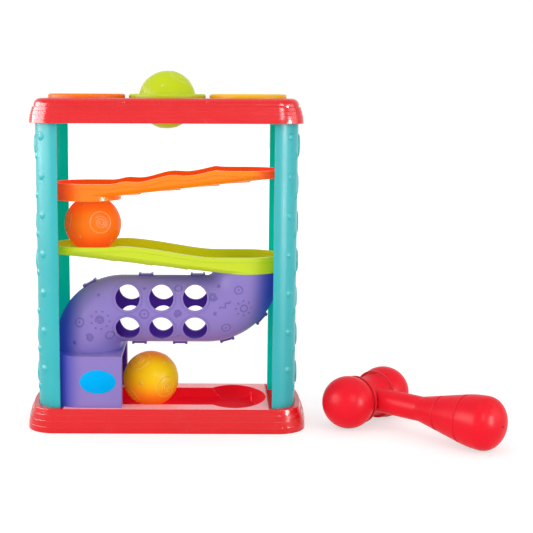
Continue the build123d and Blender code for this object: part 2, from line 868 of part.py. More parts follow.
# Exit box
with BuildPart() as exit_box:
    with BuildSketch(Plane.XY.offset(pocket_floor_z)):
        add(box_plan(0))
    extrude(amount=box_top_z - pocket_floor_z)
    with BuildSketch(Plane.XY.offset(pocket_floor_z)):
        add(box_plan(box_wall))
    extrude(amount=box_top_z - box_wall - pocket_floor_z, mode=Mode.SUBTRACT)
    with BuildSketch(Plane.XY.offset(base_height)):
        with Locations((-box_screw_x, -box_screw_y), (-box_screw_x, box_screw_y)):
            Circle(boss_radius)
    extrude(amount=screw_length)
    with BuildSketch(Plane.XY.offset(pocket_floor_z)):
        with Locations((base_length / 2 - pocket_edge - seat_gap, 0)):
            Rectangle(base_length, base_depth)
    extrude(amount=panel_pocket_depth, mode=Mode.SUBTRACT)
    with BuildSketch(Plane.XY.offset(base_height)):
        with Locations((-box_screw_x, -box_screw_y), (-box_screw_x, box_screw_y)):
            Circle(pilot_radius)
    extrude(amount=screw_length, mode=Mode.SUBTRACT)
    with BuildSketch(Plane.XY.offset(base_height)):
        with Locations((box_right, 0)):
            Rectangle(4 * box_wall, 2 * track_half_top)
    extrude(amount=box_height - box_wall, mode=Mode.SUBTRACT)
    with Locations((-hole_pitch, 0, box_top_z)):
        CounterBoreHole(
            radius=tunnel_radius - box_seat_ledge,
            counter_bore_radius=tunnel_radius + seat_gap,
            counter_bore_depth=box_seat_depth,
            depth=2 * box_wall,
        )
exit_box.part.label = "exit_box"
export_step(exit_box.part, "parts/exit_box.step")


def hollow_ball(centre):
    """A thin-walled ball."""
    with BuildPart() as ball:
        with Locations(centre):
            Sphere(ball_radius)
            Sphere(ball_radius - ball_wall, mode=Mode.SUBTRACT)
    return ball


# Balls
green_ball = hollow_ball((green_ball_x, 0, green_ball_z))
green_ball.part.label = "green_ball"
export_step(green_ball.part, "parts/green_ball.step")

orange_ball = hollow_ball((orange_ball_x, 0, orange_ball_z))
orange_ball.part.label = "orange_ball"
export_step(orange_ball.part, "parts/orange_ball.step")

yellow_ball = hollow_ball((yellow_ball_x, 0, yellow_ball_z))
yellow_ball.part.label = "yellow_ball"
export_step(yellow_ball.part, "parts/yellow_ball.step")


def screws_up(places, seat_z):
    """Pan-head screws driven upwards, their heads against the underside at a height."""
    with BuildPart() as screws:
        with BuildSketch(Plane.XY.offset(seat_z - screw_head_height)):
            with Locations(*places):
                Circle(screw_head_radius)
        extrude(amount=screw_head_height)
        with BuildSketch(Plane.XY.offset(seat_z)):
            with Locations(*places):
                Circle(screw_radius)
        extrude(amount=screw_length - screw_radius)
    return screws


# Screws: base into panels, base into exit box, panels into deck
panel_places = [(x, y) for x in (-panel_screw_x, panel_screw_x) for y in (-panel_screw_y, panel_screw_y)]
box_places = [(-box_screw_x, -box_screw_y), (-box_screw_x, box_screw_y)]
panel_screws = screws_up(panel_places, pocket_floor_z - base_wall)
panel_screws.part.label = "panel_screws"
export_step(panel_screws.part, "parts/panel_screws.step")

box_screws = screws_up(box_places, base_height - base_wall)
box_screws.part.label = "box_screws"
export_step(box_screws.part, "parts/box_screws.step")

deck_screws = screws_up(panel_places, panel_top_z - shelf_thickness)
deck_screws.part.label = "deck_screws"
export_step(deck_screws.part, "parts/deck_screws.step")

# Mallet, lying on the floor with its handle towards the front
mallet_slope = (mallet_grip_radius - mallet_neck_radius) / (mallet_grip_length - mallet_neck_length)
mallet_flare_radius = mallet_neck_radius + (mallet_flare_length - mallet_neck_length) * mallet_slope
mallet_plane = Plane(
    origin=(mallet_x, mallet_y, mallet_ball_radius),
    x_dir=(math.cos(math.radians(mallet_turn)), math.sin(math.radians(mallet_turn)), 0),
    z_dir=(0, 0, 1),
)


def mallet_form(inset):
    """Solid bounded by the mallet's skin, or by the inside of its skin when inset."""
    head_axis = Axis(mallet_plane.origin, mallet_plane.y_dir)
    handle_axis = Axis(mallet_plane.origin, mallet_plane.x_dir)
    half_spacing = mallet_ball_spacing / 2
    tip = mallet_length - inset
    neck = mallet_neck_radius - inset
    collar = mallet_collar_radius - inset
    with BuildPart() as form:
        with BuildSketch(mallet_plane):
            with BuildLine():
                Line((0, 0), (0, neck))
                Line((0, neck), (mallet_neck_length, neck))
                Line((mallet_neck_length, neck), (mallet_grip_length, mallet_grip_radius - inset))
                TangentArc(
                    (mallet_butt_length, mallet_butt_radius - inset),
                    (mallet_grip_length, mallet_grip_radius - inset),
                    tangent=(-1, 0),
                )
                EllipticalCenterArc(
                    (mallet_butt_length, 0),
                    tip - mallet_butt_length,
                    mallet_butt_radius - inset,
                    0,
                    arc_size=90,
                )
                Line((tip, 0), (0, 0))
            make_face()
        revolve(axis=handle_axis)
        with BuildSketch(mallet_plane):
            with BuildLine():
                ThreePointArc(
                    (collar, -mallet_collar_start),
                    (mallet_waist_radius - inset, 0),
                    (collar, mallet_collar_start),
                )
                Line((collar, mallet_collar_start), (0, mallet_collar_start))
                Line((0, mallet_collar_start), (0, -mallet_collar_start))
                Line((0, -mallet_collar_start), (collar, -mallet_collar_start))
            make_face()
            for step in (1, 2):
                middle = mallet_collar_start + (step - 1 / 2) * mallet_collar_width
                with Locations((0, -middle), (0, middle)):
                    Rectangle(
                        collar + step * mallet_collar_step,
                        mallet_collar_width,
                        align=(Align.MIN, Align.CENTER),
                    )
        revolve(axis=head_axis)
        with Locations(mallet_plane):
            with Locations((0, -half_spacing, 0), (0, half_spacing, 0)):
                Sphere(mallet_ball_radius - inset)
        with BuildSketch(mallet_plane):
            Rectangle(
                mallet_waist_radius + mallet_boss_height - inset,
                mallet_boss_radius - inset,
                align=(Align.MAX, Align.MIN),
            )
        revolve(axis=handle_axis)
    return form.part


# Its two grip grooves and the vent in its butt
with BuildPart() as mallet:
    add(mallet_form(0))
    add(mallet_form(mallet_wall), mode=Mode.SUBTRACT)
    with BuildSketch(mallet_plane):
        with Locations(
            (mallet_flare_length, mallet_flare_radius + mallet_groove / 3),
            (mallet_grip_length, mallet_grip_radius + mallet_groove / 3),
        ):
            Circle(mallet_groove)
        with Locations((mallet_length + overrun, 0)):
            Rectangle(mallet_vent_depth + overrun, mallet_vent_radius, align=(Align.MAX, Align.MIN))
    revolve(axis=Axis(mallet_plane.origin, mallet_plane.x_dir), mode=Mode.SUBTRACT)
mallet.part.label = "mallet"
export_step(mallet.part, "parts/mallet.step")
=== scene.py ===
"""Looks for the ball pounding bench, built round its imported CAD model.

The CAD pieces keep their shapes and get finishes of moulded plastic, soft elastomer and plated
steel. The balls and the tunnel get their raised ornament, and the exit box its blank oval label.
Lengths are in metres, in the row frame.
"""

import itertools
import logging
import math
from dataclasses import dataclass, field
from enum import Enum
from typing import Callable, Sequence

import bmesh
import bpy
from mathutils import Matrix, Vector


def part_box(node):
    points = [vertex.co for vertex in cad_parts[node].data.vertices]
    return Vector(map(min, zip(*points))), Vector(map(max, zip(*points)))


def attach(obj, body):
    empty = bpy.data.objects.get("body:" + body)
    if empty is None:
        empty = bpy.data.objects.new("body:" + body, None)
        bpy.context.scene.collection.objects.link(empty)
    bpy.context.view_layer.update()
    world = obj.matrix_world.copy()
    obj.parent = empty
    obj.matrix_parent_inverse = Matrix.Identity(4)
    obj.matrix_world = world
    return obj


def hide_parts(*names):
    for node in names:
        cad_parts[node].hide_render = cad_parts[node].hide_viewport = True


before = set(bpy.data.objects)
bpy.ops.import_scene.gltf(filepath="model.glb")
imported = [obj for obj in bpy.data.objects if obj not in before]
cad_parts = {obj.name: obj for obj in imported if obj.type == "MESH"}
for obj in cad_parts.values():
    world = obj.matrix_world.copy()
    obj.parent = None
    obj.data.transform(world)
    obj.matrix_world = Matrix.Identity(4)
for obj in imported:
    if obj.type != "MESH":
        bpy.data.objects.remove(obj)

LOG = logging.getLogger("ball_bench")
MM = 0.001
BENCH = "bench"
PHOTO_PIXELS = 533
AXIS_WAYS = ((1, 0, 0), (0, 1, 0), (0, 0, 1), (-1, 0, 0), (0, -1, 0), (0, 0, -1))
CORNER_WAYS = tuple(itertools.product((1, -1), repeat=3))

Colour = tuple[float, float, float]
Place = tuple[float, float]
Span = tuple[float, float]
Surface = Callable[[float, float], tuple[Vector, Vector]]
FaceTest = Callable[[Vector, Vector], bool]
Ring = list[bmesh.types.BMVert]


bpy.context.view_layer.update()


def from_screen(red: int, green: int, blue: int) -> Colour:
    """A screen colour as the linear colour that a shader takes.

    Args:
        red: Red on the screen, from 0 to 255.
        green: Green on the screen, from 0 to 255.
        blue: Blue on the screen, from 0 to 255.

    Returns:
        The three linear shares, from 0 to 1.
    """
    toe, slope, offset, power = 0.04045, 12.92, 0.055, 2.4
    shares = [level / 255 for level in (red, green, blue)]
    return tuple(
        share / slope if share <= toe else ((share + offset) / (1 + offset)) ** power
        for share in shares
    )


class Graph:
    """A shader node tree, written from its sources to its output."""

    def __init__(self, tree: bpy.types.NodeTree) -> None:
        """Keeps the tree that the nodes go into."""
        self.tree = tree

    def node(self, kind: str, **settings: object) -> bpy.types.Node:
        """Adds a node.

        Args:
            kind: The node's type, without its ShaderNode prefix.
            **settings: Values for the node's own properties.

        Returns:
            The new node.
        """
        made = self.tree.nodes.new("ShaderNode" + kind)
        for name, value in settings.items():
            setattr(made, name, value)
        return made

    def feed(self, target: bpy.types.NodeSocket, source: object) -> None:
        """Links a socket to another one, or sets it to a plain value.

        Args:
            target: The socket that takes the value.
            source: A socket, a number or a colour.
        """
        if isinstance(source, bpy.types.NodeSocket):
            self.tree.links.new(source, target)
        else:
            target.default_value = source

    def maths(self, operation: str, *inputs: object, clamp: bool = False) -> bpy.types.NodeSocket:
        """Adds a Math node.

        Args:
            operation: The node's operation.
            *inputs: One to three sockets or numbers.
            clamp: Whether the result stays between 0 and 1.

        Returns:
            The socket with the result.
        """
        made = self.node("Math", operation=operation, use_clamp=clamp)
        for socket, source in zip(made.inputs, inputs):
            self.feed(socket, source)
        return made.outputs[0]

    def blend(self, share: object, first: object, second: object) -> bpy.types.NodeSocket:
        """Mixes two colours.

        Args:
            share: How much of the second colour the mixture has.
            first: The colour at a share of 0.
            second: The colour at a share of 1.

        Returns:
            The socket with the mixed colour.
        """
        made = self.node("Mix", data_type="RGBA")
        for name, source in (("Factor_Float", share), ("A_Color", first), ("B_Color", second)):
            socket = next(s for s in made.inputs if s.identifier == name)
            self.feed(socket, source)
        return next(s for s in made.outputs if s.identifier == "Result_Color")

    def ramp(self, source: bpy.types.NodeSocket, span: Span) -> bpy.types.NodeSocket:
        """Stretches a span of values smoothly over 0 to 1.

        Args:
            source: The socket with the value.
            span: The value that becomes 0 and the one that becomes 1.

        Returns:
            The socket with the stretched value.
        """
        made = self.node("MapRange", interpolation_type="SMOOTHSTEP")
        self.feed(made.inputs["Value"], source)
        made.inputs["From Min"].default_value, made.inputs["From Max"].default_value = span
        return made.outputs["Result"]

    def object_place(self) -> bpy.types.NodeSocket:
        """The place on the object, in metres."""
        return self.node("TexCoord").outputs["Object"]

    def split(self, vector: bpy.types.NodeSocket) -> bpy.types.bpy_prop_collection:
        """Splits a vector.

        Args:
            vector: The socket with the vector.

        Returns:
            The outputs X, Y and Z.
        """
        made = self.node("SeparateXYZ")
        self.feed(made.inputs[0], vector)
        return made.outputs

    def noise(
        self, place: bpy.types.NodeSocket, scale: object, detail: float = 2.0, rough: float = 0.5
    ) -> bpy.types.NodeSocket:
        """Adds a noise texture.

        Args:
            place: The socket with the place.
            scale: The noise's scale, a socket or a number.
            detail: How many finer layers it has.
            rough: How strong the finer layers are.

        Returns:
            The socket with the noise's value.
        """
        made = self.node("TexNoise")
        sources = {"Vector": place, "Scale": scale, "Detail": detail, "Roughness": rough}
        for name, source in sources.items():
            self.feed(made.inputs[name], source)
        return made.outputs["Fac"]

    def bump(
        self,
        shader: bpy.types.Node,
        height: bpy.types.NodeSocket,
        distance: float,
        normal: bpy.types.NodeSocket | None = None,
    ) -> None:
        """Raises a shader's surface by a height.

        Args:
            shader: The shader whose normal is bent.
            height: The socket with the height.
            distance: The size of a height of 1, in metres.
            normal: The socket with the normal below the bump, if it isn't the mesh's own.
        """
        made = self.node("Bump")
        made.inputs["Distance"].default_value = distance
        self.feed(made.inputs["Height"], height)
        if normal is not None:
            self.feed(made.inputs["Normal"], normal)
        self.feed(shader.inputs["Normal"], made.outputs["Normal"])


def plain_material(name: str) -> tuple[bpy.types.Material, Graph, bpy.types.Node]:
    """Makes a material that has nothing but its principled shader.

    Args:
        name: The material's name.

    Returns:
        The material, its graph and its shader.
    """
    material = bpy.data.materials.new(name)
    material.use_nodes = True
    shader = material.node_tree.nodes["Principled BSDF"]
    return material, Graph(material.node_tree), shader


class SharedEffect:
    """A shader node group with named inputs and outputs, built once."""

    def __init__(self, name: str, inputs: dict[str, object], outputs: dict[str, str]) -> None:
        """Makes the group's sockets.

        Args:
            name: The group's name.
            inputs: Each input's name and its plain value, which also gives its type.
            outputs: Each output's name and its socket type.
        """
        self.tree = bpy.data.node_groups.new(name, "ShaderNodeTree")
        self.graph = Graph(self.tree)
        for label, value in inputs.items():
            kind = "NodeSocketFloat" if isinstance(value, (int, float)) else "NodeSocketColor"
            socket = self.tree.interface.new_socket(label, in_out="INPUT", socket_type=kind)
            socket.default_value = value
        for label, kind in outputs.items():
            self.tree.interface.new_socket(label, in_out="OUTPUT", socket_type=kind)
        self.start = self.tree.nodes.new("NodeGroupInput").outputs
        self.end = self.tree.nodes.new("NodeGroupOutput").inputs

    def place(self, graph: Graph, **inputs: object) -> bpy.types.bpy_prop_collection:
        """Puts the group into a material.

        Args:
            graph: The material's graph.
            **inputs: Sockets or values for the group's inputs, with _ for a space.

        Returns:
            The placed group's outputs.
        """
        made = graph.node("Group", node_tree=self.tree)
        for label, source in inputs.items():
            graph.feed(made.inputs[label.replace("_", " ")], source)
        return made.outputs


def tint_drift_effect() -> SharedEffect:
    """Slow change of tint through a moulding, where the pigment is thicker or thinner.

    Returns:
        The group, which puts out the drifting colour.
    """
    cloud_span, speck_span = (0.32, 0.7), (0.3, 0.75)
    speck_finer, speck_share = 38.0, 0.25
    effect = SharedEffect(
        "tint_drift",
        {
            "Colour": (0.8, 0.8, 0.8, 1),
            "Deep Colour": (0.5, 0.5, 0.5, 1),
            "Scale": 20.0,
            "Amount": 0.2,
        },
        {"Colour": "NodeSocketColor"},
    )
    graph = effect.graph
    place = graph.object_place()
    scale = effect.start["Scale"]
    cloud = graph.ramp(graph.noise(place, scale, detail=3.0), cloud_span)
    speck = graph.ramp(graph.noise(place, graph.maths("MULTIPLY", scale, speck_finer)), speck_span)
    slow = graph.maths("MULTIPLY", cloud, 1 - speck_share)
    both = graph.maths("MULTIPLY_ADD", speck, speck_share, slow)
    share = graph.maths("MULTIPLY", both, effect.start["Amount"], clamp=True)
    mixed = graph.blend(share, effect.start["Colour"], effect.start["Deep Colour"])
    graph.feed(effect.end["Colour"], mixed)
    return effect


def moulded_grain_effect() -> SharedEffect:
    """The fine grain of a mould's wall, with its soft sink marks.

    Returns:
        The group, which puts out a height and a roughness.
    """
    sink_scale, sink_depth = 55.0, 1.6
    effect = SharedEffect(
        "moulded_grain",
        {"Grain Scale": 1500.0, "Roughness": 0.4, "Spread": 0.1},
        {"Height": "NodeSocketFloat", "Roughness": "NodeSocketFloat"},
    )
    graph = effect.graph
    place = graph.object_place()
    grain = graph.noise(place, effect.start["Grain Scale"], detail=4.0, rough=0.6)
    sink = graph.noise(place, sink_scale, detail=1.0)
    graph.feed(effect.end["Height"], graph.maths("MULTIPLY_ADD", sink, sink_depth, grain))
    swing = graph.maths("SUBTRACT", graph.maths("ADD", sink, grain), 1.0)
    rough = graph.maths("MULTIPLY_ADD", swing, effect.start["Spread"], effect.start["Roughness"])
    graph.feed(effect.end["Roughness"], rough)
    return effect


def play_marks_effect() -> SharedEffect:
    """Faint rubs and hair scratches that play leaves on plastic.

    Returns:
        The group, which puts out a mask and a height.
    """
    lays = (((0.5, 0.85, 0.3), 9.0), ((2.1, 3.57, 1.26), 7.0))
    hair_finer, hair_span, patch_span = 2.2, (0.006, 0.0), (0.52, 0.7)
    effect = SharedEffect(
        "play_marks",
        {"Scale": 60.0, "Amount": 0.5},
        {"Mask": "NodeSocketFloat", "Height": "NodeSocketFloat"},
    )
    graph = effect.graph
    place = graph.object_place()
    scale = effect.start["Scale"]
    lines = []
    for turn, stretch in lays:
        mapping = graph.node("Mapping")
        graph.feed(mapping.inputs["Vector"], place)
        graph.feed(mapping.inputs["Rotation"], turn)
        graph.feed(mapping.inputs["Scale"], (stretch, 1.0, 1.0))
        hair = graph.noise(mapping.outputs["Vector"], graph.maths("MULTIPLY", scale, hair_finer))
        beside = graph.maths("ABSOLUTE", graph.maths("SUBTRACT", hair, 0.5))
        lines.append(graph.ramp(beside, hair_span))
    patch = graph.ramp(graph.noise(place, scale), patch_span)
    rubs = graph.maths("MULTIPLY", graph.maths("MAXIMUM", *lines), patch)
    mask = graph.maths("MULTIPLY", rubs, effect.start["Amount"], clamp=True)
    graph.feed(effect.end["Mask"], mask)
    graph.feed(effect.end["Height"], graph.maths("MULTIPLY", mask, -1.0))
    return effect


def recess_shade_effect() -> SharedEffect:
    """How far a place lies in a groove or corner, by ambient occlusion: where shade is painted.

    Returns:
        The group, which puts out a mask.
    """
    closed_span = (0.95, 0.25)
    effect = SharedEffect(
        "recess_shade", {"Amount": 0.5, "Reach": 12 * MM}, {"Mask": "NodeSocketFloat"}
    )
    graph = effect.graph
    # Ambient occlusion marks where painted shade goes.
    hollow = graph.node("AmbientOcclusion", samples=8)
    graph.feed(hollow.inputs["Distance"], effect.start["Reach"])
    closed = graph.ramp(hollow.outputs["AO"], closed_span)
    graph.feed(effect.end["Mask"], graph.maths("MULTIPLY", closed, effect.start["Amount"]))
    return effect


def end_shade_effect() -> SharedEffect:
    """How near a place lies to the side panels, whose shade deepens the colour.

    Returns:
        The group, which puts out a mask.
    """
    shaded_span = (84 * MM, 110 * MM)
    effect = SharedEffect("end_shade", {"Amount": 0.5}, {"Mask": "NodeSocketFloat"})
    graph = effect.graph
    aside = graph.maths("ABSOLUTE", graph.split(graph.object_place())["X"])
    near = graph.ramp(aside, shaded_span)
    graph.feed(effect.end["Mask"], graph.maths("MULTIPLY", near, effect.start["Amount"]))
    return effect


def soft_edge_effect() -> SharedEffect:
    """The rounded normal of a moulding's edges, and where they turn pale: worn, and a painted
    highlight.

    Returns:
        The group, which puts out a normal and a mask.
    """
    turned_span = (0.99, 0.75)
    effect = SharedEffect(
        "soft_edge",
        {"Radius": 0.6 * MM},
        {"Normal": "NodeSocketVector", "Mask": "NodeSocketFloat"},
    )
    graph = effect.graph
    rounded = graph.node("Bevel", samples=6)
    graph.feed(rounded.inputs["Radius"], effect.start["Radius"])
    graph.feed(effect.end["Normal"], rounded.outputs["Normal"])
    turned = graph.node("VectorMath", operation="DOT_PRODUCT")
    graph.feed(turned.inputs[0], rounded.outputs["Normal"])
    graph.feed(turned.inputs[1], graph.node("NewGeometry").outputs["Normal"])
    graph.feed(effect.end["Mask"], graph.ramp(turned.outputs["Value"], turned_span))
    return effect


class Effects:
    """The shared effects, built once for all the finishes."""

    def __init__(self) -> None:
        """Builds each effect."""
        self.tint_drift = tint_drift_effect()
        self.moulded_grain = moulded_grain_effect()
        self.play_marks = play_marks_effect()
        self.recess_shade = recess_shade_effect()
        self.end_shade = end_shade_effect()
        self.soft_edge = soft_edge_effect()


class Skin(Enum):
    """How a moulding's surface takes the light: its roughness, coat and specular level."""

    SATIN = (0.2, 0.0, 0.36)
    GLOSS = (0.2, 0.04, 0.18)
    DEEP = (0.34, 0.0, 0.012)
    SHEEN = (0.32, 0.0, 0.06)
    SOFT = (0.42, 0.0, 0.1)
    MATT = (0.36, 0.0, 0.15)

    @property
    def roughness(self) -> float:
        """The surface's mean roughness."""
        return self.value[0]

    @property
    def coat(self) -> float:
        """The weight of the polished outer layer."""
        return self.value[1]

    @property
    def specular(self) -> float:
        """The level of plain reflection."""
        return self.value[2]


@dataclass(frozen=True)
class PlasticFinish:
    """A dyed plastic, with its grain, tint drift, painted recess shade and play marks.

    The deep_tint_and_shade_colour is the tint that the drift moves toward, and also the shade
    painted into recesses and beside the side panels. painted_glow is emission that paints light
    into those shaded places, and painted_glow_share of the colour glows everywhere; glow is
    subsurface scattering.
    """

    name: str
    colour: Colour
    deep_tint_and_shade_colour: Colour
    skin: Skin = Skin.SATIN
    drift: float = 0.25
    recess: float = 0.5
    recess_reach: float = 12 * MM
    end_shade: float = 0.0
    edge: float = 0.6 * MM
    # Pale edges: worn plastic, and a painted highlight line.
    edge_wear_and_highlight: float = 0.25
    wear_and_highlight_paling: float = 0.6
    glow: float = 0.0
    glow_radius: Colour = (1.0, 0.8, 0.5)
    glow_depth: float = 2.5 * MM
    # Strength of the painted glow, an emission that stands in for light.
    painted_glow: float = 0.0
    painted_glow_share: float = 0.3
    tint_scale: float = 16.0
    grain_scale: float = 1500.0
    grain_depth: float = 0.04 * MM
    grain_spread: float = 0.12
    mark_scale: float = 45.0
    mark_share: float = 0.35
    mark_paling: float = 0.3
    mark_roughness: float = 0.2
    coat_roughness: float = 0.12

    def build(self, effects: Effects) -> bpy.types.Material:
        """Makes the material.

        Args:
            effects: The shared effects.

        Returns:
            The finished material.
        """
        material, graph, shader = plain_material(self.name)
        sockets = shader.inputs
        colour, deep_tint_and_shade = (*self.colour, 1), (*self.deep_tint_and_shade_colour, 1)
        tint = effects.tint_drift.place(
            graph, Colour=colour, Deep_Colour=deep_tint_and_shade, Scale=self.tint_scale, Amount=self.drift
        )
        shade = effects.recess_shade.place(graph, Amount=self.recess, Reach=self.recess_reach)
        ends = effects.end_shade.place(graph, Amount=self.end_shade)
        # Painted shade mask: the recess mask and the end mask together.
        painted_shade_mask = graph.maths("MAXIMUM", shade["Mask"], ends["Mask"])
        marks = effects.play_marks.place(graph, Scale=self.mark_scale, Amount=self.mark_share)
        edges = effects.soft_edge.place(graph, Radius=self.edge)
        grain = effects.moulded_grain.place(
            graph,
            Grain_Scale=self.grain_scale,
            Roughness=self.skin.roughness,
            Spread=self.grain_spread,
        )
        # Edges and play marks turn pale: worn plastic, and at edges also a painted highlight.
        pale = tuple(self.wear_and_highlight_paling + (1 - self.wear_and_highlight_paling) * share for share in self.colour)
        wear_and_highlight = graph.maths("MULTIPLY", edges["Mask"], self.edge_wear_and_highlight)
        wear_and_highlight = graph.maths("MULTIPLY_ADD", marks["Mask"], self.mark_paling, wear_and_highlight, clamp=True)
        # Painted shade: under the mask the colour darkens to its deeper tint.
        shaded = graph.blend(painted_shade_mask, tint["Colour"], deep_tint_and_shade)
        graph.feed(sockets["Base Color"], graph.blend(wear_and_highlight, shaded, (*pale, 1)))
        rough = graph.maths("MULTIPLY_ADD", marks["Mask"], self.mark_roughness, grain["Roughness"])
        graph.feed(sockets["Roughness"], rough)
        height = graph.maths("ADD", grain["Height"], marks["Height"])
        graph.bump(shader, height, self.grain_depth, edges["Normal"])
        sockets["Coat Weight"].default_value = self.skin.coat
        sockets["Coat Roughness"].default_value = self.coat_roughness
        sockets["Specular IOR Level"].default_value = self.skin.specular
        # Painted glow: emission lights shaded places in the deeper tint, and all others faintly.
        if self.painted_glow > 0:
            even_painted_glow = tuple(self.painted_glow_share * share for share in self.colour)
            graph.feed(sockets["Emission Color"], graph.blend(painted_shade_mask, (*even_painted_glow, 1), deep_tint_and_shade))
            sockets["Emission Strength"].default_value = self.painted_glow
        if self.glow > 0:
            sockets["Subsurface Weight"].default_value = self.glow
            sockets["Subsurface Radius"].default_value = self.glow_radius
            sockets["Subsurface Scale"].default_value = self.glow_depth
        return material


@dataclass(frozen=True)
class StippledFinish:
    """A red moulding whose level top, above a height, is spark-eroded and painted pale as a
    reflection.
    """

    name: str
    body: PlasticFinish
    stipple_sheen_colour: Colour
    above: float
    reach: float
    flatness: float = 0.98
    cell_scale: float = 900.0
    pit_span: Span = (0.15, 0.6)
    least_cover: float = 0.4
    pit_cover: float = 0.55
    pit_depth: float = 0.12 * MM
    pit_roughness: float = 0.2
    painted_sheen_glow: float = 0.25

    def build(self, effects: Effects) -> bpy.types.Material:
        """Makes the material.

        Args:
            effects: The shared effects.

        Returns:
            The finished material.
        """
        material = self.body.build(effects)
        material.name = self.name
        graph = Graph(material.node_tree)
        shader = material.node_tree.nodes["Principled BSDF"]
        colour, black = (*self.stipple_sheen_colour, 1), (0, 0, 0, 1)
        body_colour, body_rough, body_normal = (
            shader.inputs[name].links[0].from_socket
            for name in ("Base Color", "Roughness", "Normal")
        )
        place = graph.object_place()
        where = graph.split(place)
        facing = graph.split(graph.node("NewGeometry").outputs["True Normal"])
        level = graph.maths("GREATER_THAN", where["Z"], self.above)
        flat = graph.maths("GREATER_THAN", facing["Z"], self.flatness)
        near = graph.maths("LESS_THAN", graph.maths("ABSOLUTE", where["X"]), self.reach)
        top = graph.maths("MULTIPLY", graph.maths("MULTIPLY", level, flat), near)
        cells = graph.node("TexVoronoi")
        graph.feed(cells.inputs["Vector"], place)
        graph.feed(cells.inputs["Scale"], self.cell_scale)
        pit = graph.ramp(cells.outputs["Distance"], self.pit_span)
        cover = graph.maths("MULTIPLY_ADD", pit, self.pit_cover, self.least_cover)
        # The pits' share paints the pale reflection colour and its faint glow.
        share = graph.maths("MULTIPLY", top, cover)
        graph.feed(shader.inputs["Base Color"], graph.blend(share, body_colour, colour))
        graph.feed(shader.inputs["Emission Color"], graph.blend(share, black, colour))
        shader.inputs["Emission Strength"].default_value = self.painted_sheen_glow
        rough = graph.maths("MULTIPLY_ADD", top, self.pit_roughness, body_rough)
        graph.feed(shader.inputs["Roughness"], rough)
        graph.bump(shader, graph.maths("MULTIPLY", top, pit), self.pit_depth, body_normal)
        return material


@dataclass(frozen=True)
class SteelFinish:
    """Zinc-plated steel for the screws."""

    name: str
    colour: Colour
    dulling: float = 0.6
    drift: float = 0.6
    tint_scale: float = 400.0
    roughness: float = 0.32
    grain_scale: float = 2600.0
    grain_depth: float = 0.02 * MM
    grain_spread: float = 0.2

    def build(self, effects: Effects) -> bpy.types.Material:
        """Makes the material.

        Args:
            effects: The shared effects.

        Returns:
            The finished material.
        """
        material, graph, shader = plain_material(self.name)
        dull = tuple(share * self.dulling for share in self.colour)
        tint = effects.tint_drift.place(
            graph,
            Colour=(*self.colour, 1),
            Deep_Colour=(*dull, 1),
            Scale=self.tint_scale,
            Amount=self.drift,
        )
        grain = effects.moulded_grain.place(
            graph,
            Grain_Scale=self.grain_scale,
            Roughness=self.roughness,
            Spread=self.grain_spread,
        )
        graph.feed(shader.inputs["Base Color"], tint["Colour"])
        graph.feed(shader.inputs["Roughness"], grain["Roughness"])
        graph.bump(shader, grain["Height"], self.grain_depth)
        shader.inputs["Metallic"].default_value = 1.0
        return material


def dress(
    node: str, material: bpy.types.Material, *zones: tuple[bpy.types.Material, FaceTest]
) -> None:
    """Gives a CAD node its material, and some of its faces another one.

    Args:
        node: The CAD node's name.
        material: The material of all faces that no zone takes.
        *zones: A material each, with the test on a face's middle and normal that gives it the face.
    """
    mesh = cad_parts[node].data
    mesh.materials.clear()
    for made in (material, *(other for other, _ in zones)):
        mesh.materials.append(made)
    for face in mesh.polygons:
        taken = [slot for slot, (_, test) in enumerate(zones, 1) if test(face.center, face.normal)]
        face.material_index = taken[0] if taken else 0
    LOG.info("dressed %s in %s", node, ", ".join(made.name for made in mesh.materials))


class Stroke(Enum):
    """A line of raised ornament, drawn in a motif's own plane."""

    RING = "ring"
    SPIRAL = "spiral"
    WAVE = "wave"


@dataclass(frozen=True)
class Motif:
    """A piece of raised ornament, a line or a ring of dots, at a place and a turn on a surface."""

    across: float
    up: float
    size: float
    stroke: Stroke | None = None
    dots: int = 0
    turn: float = 0.0
    line_steps: int = 40
    spiral_steps: int = 56
    spiral_start: float = 0.18
    spiral_sweep: float = 4.3 * math.pi
    wave_share: float = 0.22
    wave_sweep: float = 4 * math.pi

    def ring(self) -> list[Place]:
        """The points of a ring."""
        turns = [math.tau * step / self.line_steps for step in range(self.line_steps)]
        return [(self.size * math.cos(turn), self.size * math.sin(turn)) for turn in turns]

    def spiral(self) -> list[Place]:
        """The points of a spiral, from its inner end.

        Returns:
            The points in the motif's plane.
        """
        points = []
        for step in range(self.spiral_steps + 1):
            share = step / self.spiral_steps
            reach = self.size * (self.spiral_start + (1 - self.spiral_start) * share)
            turn = self.turn + self.spiral_sweep * share
            points.append((reach * math.cos(turn), reach * math.sin(turn)))
        return points

    def wave(self) -> list[Place]:
        """The points of a wavy line.

        Returns:
            The points in the motif's plane.
        """
        lean, rise = math.cos(self.turn), math.sin(self.turn)
        points = []
        for step in range(self.line_steps + 1):
            share = step / self.line_steps - 0.5
            along = 2 * self.size * share
            aside = self.wave_share * self.size * math.sin(self.wave_sweep * share)
            points.append((along * lean - aside * rise, along * rise + aside * lean))
        return points

    def line(self) -> tuple[list[Place], bool]:
        """The motif's line.

        Returns:
            The line's points, and whether it closes on itself.
        """
        if self.stroke is Stroke.RING:
            return self.ring(), True
        if self.stroke is Stroke.SPIRAL:
            return self.spiral(), False
        return self.wave(), False

    def spots(self) -> list[Place]:
        """The places of the motif's dots.

        Returns:
            The dots' middles in the motif's plane.
        """
        if self.dots == 1:
            return [(0.0, 0.0)]
        turns = [self.turn + math.tau * k / self.dots for k in range(self.dots)]
        return [(self.size * math.cos(turn), self.size * math.sin(turn)) for turn in turns]


